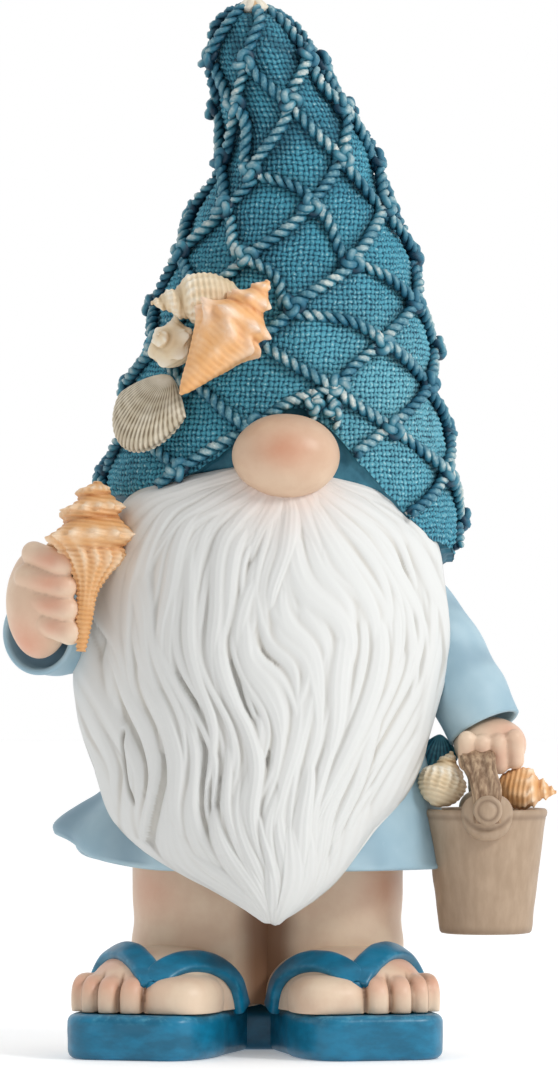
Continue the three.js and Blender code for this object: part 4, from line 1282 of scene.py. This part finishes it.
def blushes(points, spots):
    """The strongest of several soft spots, each a centre, radii and an amount."""
    blush = np.zeros(len(points))
    for centre, size, amount in spots:
        off = np.linalg.norm((points - np.array(centre)) / np.array(size), axis=1)
        blush = np.maximum(blush, amount * bump(off, 1))
    return blush


def build_skin(name, node, parts, voxel, smooth, spots):
    points, faces = fused(parts, voxel, smooth)
    # painted shade in the creases between the lumps of the hand
    wash, normal = crease_painted_shade(points, faces, 0.01, 9.0)
    points = points + normal * 0.15 * noise3(points, 6.0, 8)[:, None]
    make_object(name, points, faces, "skin", node,
                {"blush": blushes(points, spots), "wash": wash * 0.55})


# height and tuck of each finger of the raised fist, x and drop of each gripping one
FINGERS = [(155.3, 4.0), (148.2, 1.5), (141.1, 4.0), (134.0, 7.0)]
GRIP_FINGERS = [(58.4, 0), (63.4, 1), (68.4, 0.8), (73.4, -0.6)]


FIST_CENTRE, FIST_RADII = (-75.5, -26, 141.5), (10.5, 11.5, 17.5)
GRIP_CENTRE, GRIP_RADII = (66, -13.5, 96.7), (11.4, 10.8, 8.9)
FINGER_RADIUS = 4.0
GRIP_FINGER_RADIUS = 2.9


def build_hands():
    fist = Parts()
    fist.add(soft_block(FIST_CENTRE, FIST_RADII, 2, 28, 36))
    for i, (height, tuck) in enumerate(FINGERS):
        knuckle = (-81 + tuck, -33.0, height + 1.6)
        fist.add(capsule(knuckle, (-68.0 + 0.8 * i, -40.5, height - 1.6), FINGER_RADIUS))
    spots = [((-72, -42, height), (7, 6, 3), 0.8) for height in (155, 148, 141, 134)]
    spots.append(((-80, -32, 129), (8, 8, 9), 0.8))
    build_skin("right_fist", "right_hand", fist, 0.55, 4, spots)

    grip = Parts()
    grip.add(soft_block(GRIP_CENTRE, GRIP_RADII, 2, 28, 36))
    for x, drop in GRIP_FINGERS:
        knuckle, end = (x, -23.4, 98.5 - drop), (x + 0.3, -21.2, 91.4 - drop)
        grip.add(capsule(knuckle, end, GRIP_FINGER_RADIUS))
    spots = [((66, -25, 92), (10, 5, 5), 0.55), ((72, -18, 100), (8, 7, 5), 0.6)]
    build_skin("left_grip", "left_hand", grip, 0.5, 3, spots)


ANKLE_RADIUS = 20.4
LEG_RADIUS = 21.5
RIGHT = {"name": "right", "inner": 1, "leg": -25.4, "foot": -29.0, "turn": math.radians(-18)}
LEFT = {"name": "left", "inner": -1, "leg": 17.2, "foot": 15.5, "turn": math.radians(15)}
LEG_Y = 2.0
SOLE_TOP = 14.0


def standing(points, side):
    """Turns a shape drawn with the toes towards -Y, big toe towards +X, into place."""
    points = np.array(points, float)
    x, y = points[..., 0] * side["inner"], points[..., 1]
    c, s = math.cos(side["turn"]), math.sin(side["turn"])
    return stacked(side["foot"] + c * x - s * y, LEG_Y + s * x + c * y, points[..., 2])


def unstand(points, side):
    """Back from the standing place to the foot's own straight frame."""
    x, y = points[..., 0] - side["foot"], points[..., 1] - LEG_Y
    c, s = math.cos(side["turn"]), math.sin(side["turn"])
    return stacked((c * x + s * y) * side["inner"], c * y - s * x, points[..., 2])


def add_standing(parts, points, side, **data):
    """Adds a shape in its standing place, with the faces outward though it is mirrored."""
    turn = slice(None, None, side["inner"])
    data = {key: np.broadcast_to(values, points.shape[:2])[:, turn] for key, values in data.items()}
    return parts.add(standing(points, side)[:, turn], **data)


def build_leg(side):
    """The leg, a soft column that meets the other one at the middle."""
    heights = np.linspace(15, 70, 90)
    angle = full_turn(96)
    radius = LEG_RADIUS - 0.5 * bump(heights - 41, 5) + 0.3 * bump(heights - 34, 4)
    inner = 0.0 if side["inner"] > 0 else math.pi
    radius = radius[:, None] + 6.5 * bump(angle_between(angle, inner), 0.62)
    points = ring_grid((side["leg"], LEG_Y), radius, angle, heights[:, None])
    points = roughened(points, points - (side["leg"], LEG_Y, 0), 0.25, 11.0, 9)
    outer = FRONT - side["inner"] * math.radians(48)
    blush = bump(angle_between(angle, outer), 0.55) * bump(heights[:, None] - 52, 9)
    # painted shade: brown down the crevice where the legs meet, and at the top under the tunic's
    # hem
    meeting = smoothstep(1.1, 0.7, np.abs(angle_between(angle, inner)))
    wash = np.maximum(0.5 * smoothstep(60, 68, heights)[:, None], 0.95 * meeting)
    parts = Parts().add(points, blush=blush * 0.6, wash=wash)
    parts.build(side["name"] + "_shin", "skin", "skin_peach", side["name"] + "_leg")


# each toe's x, y, half width and half length, from the big one outwards
TOES = [(12.9, -43.0, 11.2, 15.5), (-0.4, -46.5, 4.7, 12.0), (-8.2, -46.5, 4.3, 11.5),
        (-14.9, -44.5, 3.8, 11.0), (-20.0, -41.0, 3.2, 9.5)]
TOE_GAPS = [3.7, -4.4, -11.7, -17.6]
FOOT_CENTRE = np.array([0.0, -17.0, 14.6])
FOOT_RADII = np.array([23.2, 38.5, 19.2])


def build_foot(side):
    parts = Parts()
    parts.add(ring_grid((side["leg"], LEG_Y), ANKLE_RADIUS, full_turn(64),
                        np.linspace(14.5, 40.5, 24)[:, None]))
    add_standing(parts, soft_block(FOOT_CENTRE, FOOT_RADII, 2.6, 50, 72), side)
    for x, y, wide, long in TOES:
        add_standing(parts, soft_block((x, y, SOLE_TOP + 4.0), (wide, long, 8.0), 2.7), side)
    points, faces = fused(parts, 0.55, 2)
    points[:, 2] = np.maximum(points[:, 2], SOLE_TOP + 0.35)
    # painted shade in the creases of the foot
    wash, normal = crease_painted_shade(points, faces, 0.015, 7.0)
    local = unstand(points, side)
    front = smoothstep(-38, -44, local[:, 1])
    low = smoothstep(27.5, 24.5, points[:, 2])
    gaps = np.max([bump(local[:, 0] - x, 0.55) for x in TOE_GAPS], axis=0)
    cut = gaps * front * low
    points = points - normal * (0.7 * cut)[:, None]
    # painted shade in the gaps between the toes and in the creases, none down on the sole
    wash = np.maximum(wash * 0.7, cut * 0.9) * smoothstep(14.4, 15.5, points[:, 2])
    spots = [((x, y - 7, 23), (wide, 7, 4)) for x, y, wide, _ in TOES[1:]]
    spots.append(((-12, -40, 29), (13, 9, 6)))
    blush = blushes(points, [(standing(centre, side), size, 0.7) for centre, size in spots])
    # painted shade on the inner side up the ankle, where the foot meets the other leg
    inner = side["leg"] + side["inner"] * 21.2
    meeting = bump(points[:, 0] - inner, 3.0) * smoothstep(24, 34, points[:, 2])
    make_object(side["name"] + "_barefoot", points, faces, "skin",
                side["name"] + "_foot", {"blush": blush, "wash": np.maximum(wash, meeting * 0.8)})


# ---------------------------------------------------------------- flip-flops

def bezier(points, count):
    a, b, c, d = (np.array(p, float) for p in points)
    t = np.linspace(0, 1, count, endpoint=False)[:, None]
    return ((1 - t)**3 * a + 3 * (1 - t)**2 * t * b + 3 * (1 - t) * t**2 * c + t**3 * d)


def sole_outline():
    wide, toe, heel = 23, -63, 28
    return np.concatenate([
        bezier([(0, heel), (wide + 2, heel), (wide - 5, -8), (wide, -34)], 60),
        bezier([(wide, -34), (wide + 1.5, toe + 7), (wide - 4, toe), (wide - 13, toe)], 40),
        bezier([(wide - 13, toe), (4, toe), (-4, toe), (13 - wide, toe)], 20),
        bezier([(13 - wide, toe), (4 - wide, toe), (-wide - 1.5, toe + 7), (-wide, -34)], 40),
        bezier([(-wide, -34), (5 - wide, -8), (-wide - 2, heel), (0, heel)], 60),
    ])[::-1]


SOLE_CORNER = 2.6


def sole_profile():
    """Height and inset of each ring, from under the sole round its edge to the top."""
    arc = [(SOLE_CORNER * (1 - math.cos(t)), -SOLE_CORNER * (1 - math.sin(t)))
           for t in np.linspace(0, math.pi / 2, 7)]
    flank = np.linspace(SOLE_CORNER + 0.8, SOLE_TOP - SOLE_CORNER - 0.8, 12)
    return ([(0.0, -18.0), (0.0, -9.0), (0.0, -4.5)] + arc + [(z, 0.0) for z in flank]
            + [(SOLE_TOP - z, inset) for z, inset in arc[::-1]]
            + [(SOLE_TOP, inset) for inset in (-5.0, -8.0, -14.0, -20.0)])


def build_sole(side):
    outline = sole_outline()
    tangent = np.roll(outline, -1, 0) - np.roll(outline, 1, 0)
    outward = unit(stacked(tangent[:, 1], -tangent[:, 0]))
    rings, edge = [], []
    for z, inset in sole_profile():
        flat = outline + outward * inset * (1 if inset > -10 else 0.9)
        rings.append(np.concatenate([flat, np.full((len(flat), 1), z)], 1))
        # edge: painted highlight on the sole's upper rounded rim and, fainter, over its top
        rim = 1.0 if -SOLE_CORNER < inset < -0.1 and z > 7 else 0.0
        edge.append(np.full(len(flat), rim + (0.35 if z > 11 else 0)))
    points = standing(np.stack(rings), side)
    depth = 0.28 * noise3(points, 9.0, 12) + 0.12 * noise3(points, 3.0, 13)
    depth = depth * smoothstep(0.6, 2.5, points[..., 2])
    sideways = unit((points - standing((0.0, -17.0, 7.0), side)) * (1, 1, 0))
    turn = slice(None, None, side["inner"])
    parts = Parts().add((points + sideways * depth[..., None])[:, turn], wash=0.0,
                        edge=np.stack(edge)[:, turn])
    parts.build(side["name"] + "_flipflop", "sandal", "sandal_teal", side["name"] + "_sole")


# each strap arm runs from the post between the toes to the side of the sole
ARMS = [
    [(6.0, -52, 23.5), (8, -48.5, 27), (13, -40.5, 29.8), (18.8, -31, 28.6), (23, -23, 23),
     (24, -19, 14.6)],
    [(6.0, -52, 23.5), (2, -48.5, 28), (-7, -38.5, 32.4), (-16, -29, 31.2), (-22.4, -22, 24),
     (-24.2, -18, 14.6)],
]


def build_strap(side):
    parts = Parts()
    raised = np.abs(np.sin(full_turn(44)))
    for arm in ARMS:
        path = spline(arm, 90)
        out = (path - FOOT_CENTRE) / FOOT_RADII ** 2
        section = tube(path, out, 1.9, 4.4, 44, 3.4)
        section = roughened(section, section - path[:, None], 0.14, 4.0, 14)
        # edge: painted highlight along the strap's side edges
        add_standing(parts, section, side, edge=bump(raised - 0.8, 0.15), wash=0.0)
    post = spline([(5.8, -51.5, 14.6), (5.9, -52.6, 19), (6.0, -52.2, 24)], 16)
    skin = tube(post, np.array([0, -1.0, 0]), 1.9, 2.4, 20)
    add_standing(parts, skin, side, edge=0.0, wash=0.0)
    parts.build(side["name"] + "_thong", "sandal", "sandal_teal", side["name"] + "_strap")


BRIDGE_CENTRE, BRIDGE_HALF_SIZE = (-6.5, 11, 6.5), (9, 17, 6.5)


def build_bridge():
    web = soft_block(BRIDGE_CENTRE, BRIDGE_HALF_SIZE, 7.0, 60, 80)
    hump = smoothstep(-6, 10, web[..., 1]) * smoothstep(27, 14, web[..., 1])
    web[..., 2] += 5.5 * hump * smoothstep(4, 10, web[..., 2])
    # painted shade darkens the whole web between the heels
    parts = Parts().add(web, edge=0.0, wash=0.35)
    parts.build("heel_web", "sandal", "sandal_teal", "heel_bridge")


# ---------------------------------------------------------------- bucket

BUCKET_X, BUCKET_Y = 64.5, -14.0
RIM_RADIUS = 19.2
BAIL_RADIUS = RIM_RADIUS + 4.6
PIN_HEIGHT = 76.9


def lathe(profile, centre, columns):
    radius, z = np.array(profile, float).T[..., None]
    return ring_grid(centre, radius, full_turn(columns), z)


def build_bucket():
    profile = [(6, 37.5), (12.6, 37.5), (13.9, 37.7), (14.4, 38.3)]
    profile += [(14.5 + 4.4 * t, 38.5 + 35.5 * t) for t in np.linspace(0, 1, 40)[1:]]
    profile += [(RIM_RADIUS, 74.6), (19.4, 75.4), (19.3, 76.2), (18.8, 76.7), (17.8, 76.7),
                (17.1, 76.2), (16.7, 75.0), (16.4, 72.2), (12, 71.9), (5, 71.8)]
    points = lathe(profile, (BUCKET_X, BUCKET_Y), 120)
    away = (points - (BUCKET_X, BUCKET_Y, 0)) * (1, 1, 0)
    points = roughened(points, away, 0.16, 5.0, 15)
    z = points[..., 2]
    # painted shade in the groove under the rim, the groove above the base and inside the pail
    wash = bump(z - 74.2, 0.7) * 0.6 + bump(z - 38.2, 1.2) * 0.5
    wash[-4:] = 0.8
    parts = Parts().add(points, wash=wash)
    parts.build("bucket_pail", "bucket", "bucket_tan", "bucket")


def build_bail():
    arc = ((-1, 72.9), (-1, 79.9), (-0.68, 89.9), (0, 96.4), (0.68, 89.9), (1, 79.9), (1, 72.9))
    path = spline([(BUCKET_X, BUCKET_Y + share * BAIL_RADIUS, z) for share, z in arc], 120)
    path[:, 0] -= 3.2 * smoothstep(80, 97, path[:, 2])
    knots = noise2(np.linspace(0, 14, 120), 0.0, 16)
    wide = 4.1 + 1.3 * smoothstep(84, 96, path[:, 2]) + 0.35 * knots
    skin = tube(path, path - (BUCKET_X, BUCKET_Y, 70.0), 1.8, wide, 40, 3.0)
    drift = noise2(np.linspace(0, 9, 120), 0.0, 17)[:, None]
    grooves = 0.3 * np.cos(9 * full_turn(40) + 3 * drift)
    depth = grooves + 0.3 * noise3(skin, 3.0, 18)
    skin = skin + unit(skin - path[:, None]) * depth[..., None]
    # painted shade in the grooves of the bark
    parts = Parts().add(skin, wash=np.clip(-grooves * 3, 0, 1))
    parts.build("bucket_handle", "bark", "handle_brown", "bucket_bail")


BOSS = [(0.5, 0.0), (4.1, 0.0), (4.6, 0.6), (4.6, 1.5), (4.2, 2.3), (3.6, 2.6), (3.1, 2.3),
        (2.8, 2.5), (2.2, 3.0), (1.2, 3.3), (0.4, 3.35)]
# painted shade in the ring groove between the boss's rim and its dome
BOSS_PAINTED_SHADE = np.array([0, 0, 0, 0, 0, 0.2, 0.7, 0.4, 0, 0, 0])[:, None]


def build_lugs():
    """A shield under each end of the handle, with a round boss on it."""
    shape = soft_block((0, 0, -2.2), (8.2, 3.4, 7.4), 2.5, 44, 60)
    for side, name in ((-1, "front"), (1, "back")):
        x, y, z = shape[..., 0], shape[..., 1], shape[..., 2]
        low = np.clip((1 - z) / 10, 0, 1)
        x = x * (1 - 0.14 * low ** 1.4)
        bulge = RIM_RADIUS - np.sqrt(RIM_RADIUS ** 2 - x ** 2)
        y = y - side * (low * 1.6 + bulge)
        # this groove round the lower half of the plate is darkened as painted shade
        groove = bump(np.hypot(x * 0.8, z) - 6.0, 0.6) * smoothstep(1.0, 3.0, -z)
        y = y - side * 0.9 * groove * (side * y > -1)
        middle = (BUCKET_X, BUCKET_Y + side * (RIM_RADIUS + 1.9), PIN_HEIGHT)
        parts = Parts().add(stacked(x, y, z) + middle, wash=0.7 * groove)
        parts.build("lug_plate_" + name, "bucket", "bucket_tan", "bail_lug_" + name)
        ring = lathe(BOSS, (0, 0), 56)
        ring = ring + 0.15 * noise3(ring, 2.0, 71)[..., None]
        boss = stacked(-side * ring[..., 0], side * ring[..., 2], ring[..., 1])
        middle = (BUCKET_X, BUCKET_Y + side * (BAIL_RADIUS + 1.0), PIN_HEIGHT)
        parts = Parts().add(boss + middle, wash=BOSS_PAINTED_SHADE)
        parts.build("handle_boss_" + name, "bucket", "handle_brown", "bail_pin_" + name)


def build_bucket_shells():
    add_shell("bucket_cockle_shell", "bucket_cockle",
              whorled_shell(18, 14.4, 2.0, 16, 0.04, 13, round_profile, 120, 120, 0.012),
              (51.2, -20.5, 86.3), (0.3, 0.2, 0.95), 0.26, "shell_tan", "shell_tan")
    add_shell("bucket_auger_shell", "bucket_auger",
              whorled_shell(19, 12.6, 3.0, 9, 0.16, 12, round_profile, 120, 96, 0.012),
              (77.2, -19, 83), (0.95, -0.1, -0.1), 0.0, "held_conch", "shell_orange")
    add_shell("bucket_teal_fan", "bucket_teal_shell", fan_shell(15, 12, 8, 9),
              (49.6, -7.0, 92.5), (0.1, 0.1, 0.98), 0.0, "shell_teal", "shell_teal")
    add_shell("held_conch_shell", "held_conch",
              whorled_shell(53.5, 23.6, 3.3, 13, 0.2, 36, slender_profile, 200, 150, 0.01),
              (-59.5, -39, 153), (0.1, 0.12, 1), 0.2, "held_conch", "shell_orange")


# ---------------------------------------------------------------- stage, light and camera


FLOOR_RADIUS = 4


def build_stage():
    mesh = bpy.data.meshes.new("floor")
    turn = full_turn(96)[0]
    rim = [(FLOOR_RADIUS * math.cos(t), FLOOR_RADIUS * math.sin(t), 0.0) for t in turn]
    faces = [(0, 1 + k, 1 + (k + 1) % 96) for k in range(96)]
    mesh.from_pydata([(0.0, 0.0, 0.0)] + rim, [], faces)
    paint = Paint("floor_white", 0.6, 0.2)
    paint.shader.inputs["Emission Color"].default_value = (1, 1, 1, 1)
    paint.shader.inputs["Emission Strength"].default_value = 0.24
    mesh.materials.append(paint.finish((248, 248, 248)))
    link_object("floor", mesh)


def add_light(name, place, target, size, power):
    light = bpy.data.lights.new(name, "AREA")
    light.shape = "DISK"
    light.size = size
    light.energy = power
    lamp = link_object(name, light)
    lamp.location = place
    lamp.rotation_euler = (Vector(target) - Vector(place)).to_track_quat("-Z", "Y").to_euler()


def build_lights():
    """A white sky behind, a dimmer one in front and to the left, and one soft key light."""
    world = bpy.data.worlds.new("studio")
    world.use_nodes = True
    sky = Nodes(world.node_tree)
    split = sky.node("ShaderNodeSeparateXYZ")
    sky.link(sky.node("ShaderNodeTexCoord").outputs["Generated"], split.inputs[0])
    dim = sky.node("ShaderNodeMapRange")
    sky.link(sky.scaled(split.outputs["X"], 0.22, split.outputs["Y"]), dim.inputs["Value"])
    for name, value in (("From Min", -0.75), ("From Max", 0.5), ("To Min", 0.52), ("To Max", 1.0)):
        sky.link(value, dim.inputs[name])
    background = world.node_tree.nodes["Background"]
    sky.link(dim.outputs["Result"], background.inputs["Strength"])
    background.inputs["Color"].default_value = (1, 1, 1, 1)
    bpy.context.scene.world = world
    add_light("key", (1.0, -0.75, 0.95), (0, 0, 0.17), 0.35, 8.4)


CAMERA_PLACE = (-0.0004, -2.6, 0.1612)
CAMERA_LENS = 274.5


def build_camera():
    data = bpy.data.cameras.new("camera")
    data.sensor_width = 36
    data.lens = CAMERA_LENS
    camera = link_object("camera", data)
    camera.location = CAMERA_PLACE
    camera.rotation_euler = (math.pi / 2, 0, 0)
    bpy.context.scene.camera = camera
    bpy.context.scene.view_settings.view_transform = "Standard"


build_camera()
build_stage()
build_lights()
build_hat()
build_net()
build_tip()
build_hat_shells()
build_nose()
build_head()
build_beard()
build_tunic()
build_sleeves()
build_hands()
for foot_side in (RIGHT, LEFT):
    build_leg(foot_side)
    build_foot(foot_side)
    build_sole(foot_side)
    build_strap(foot_side)
build_bridge()
build_bucket()
build_bail()
build_lugs()
build_bucket_shells()
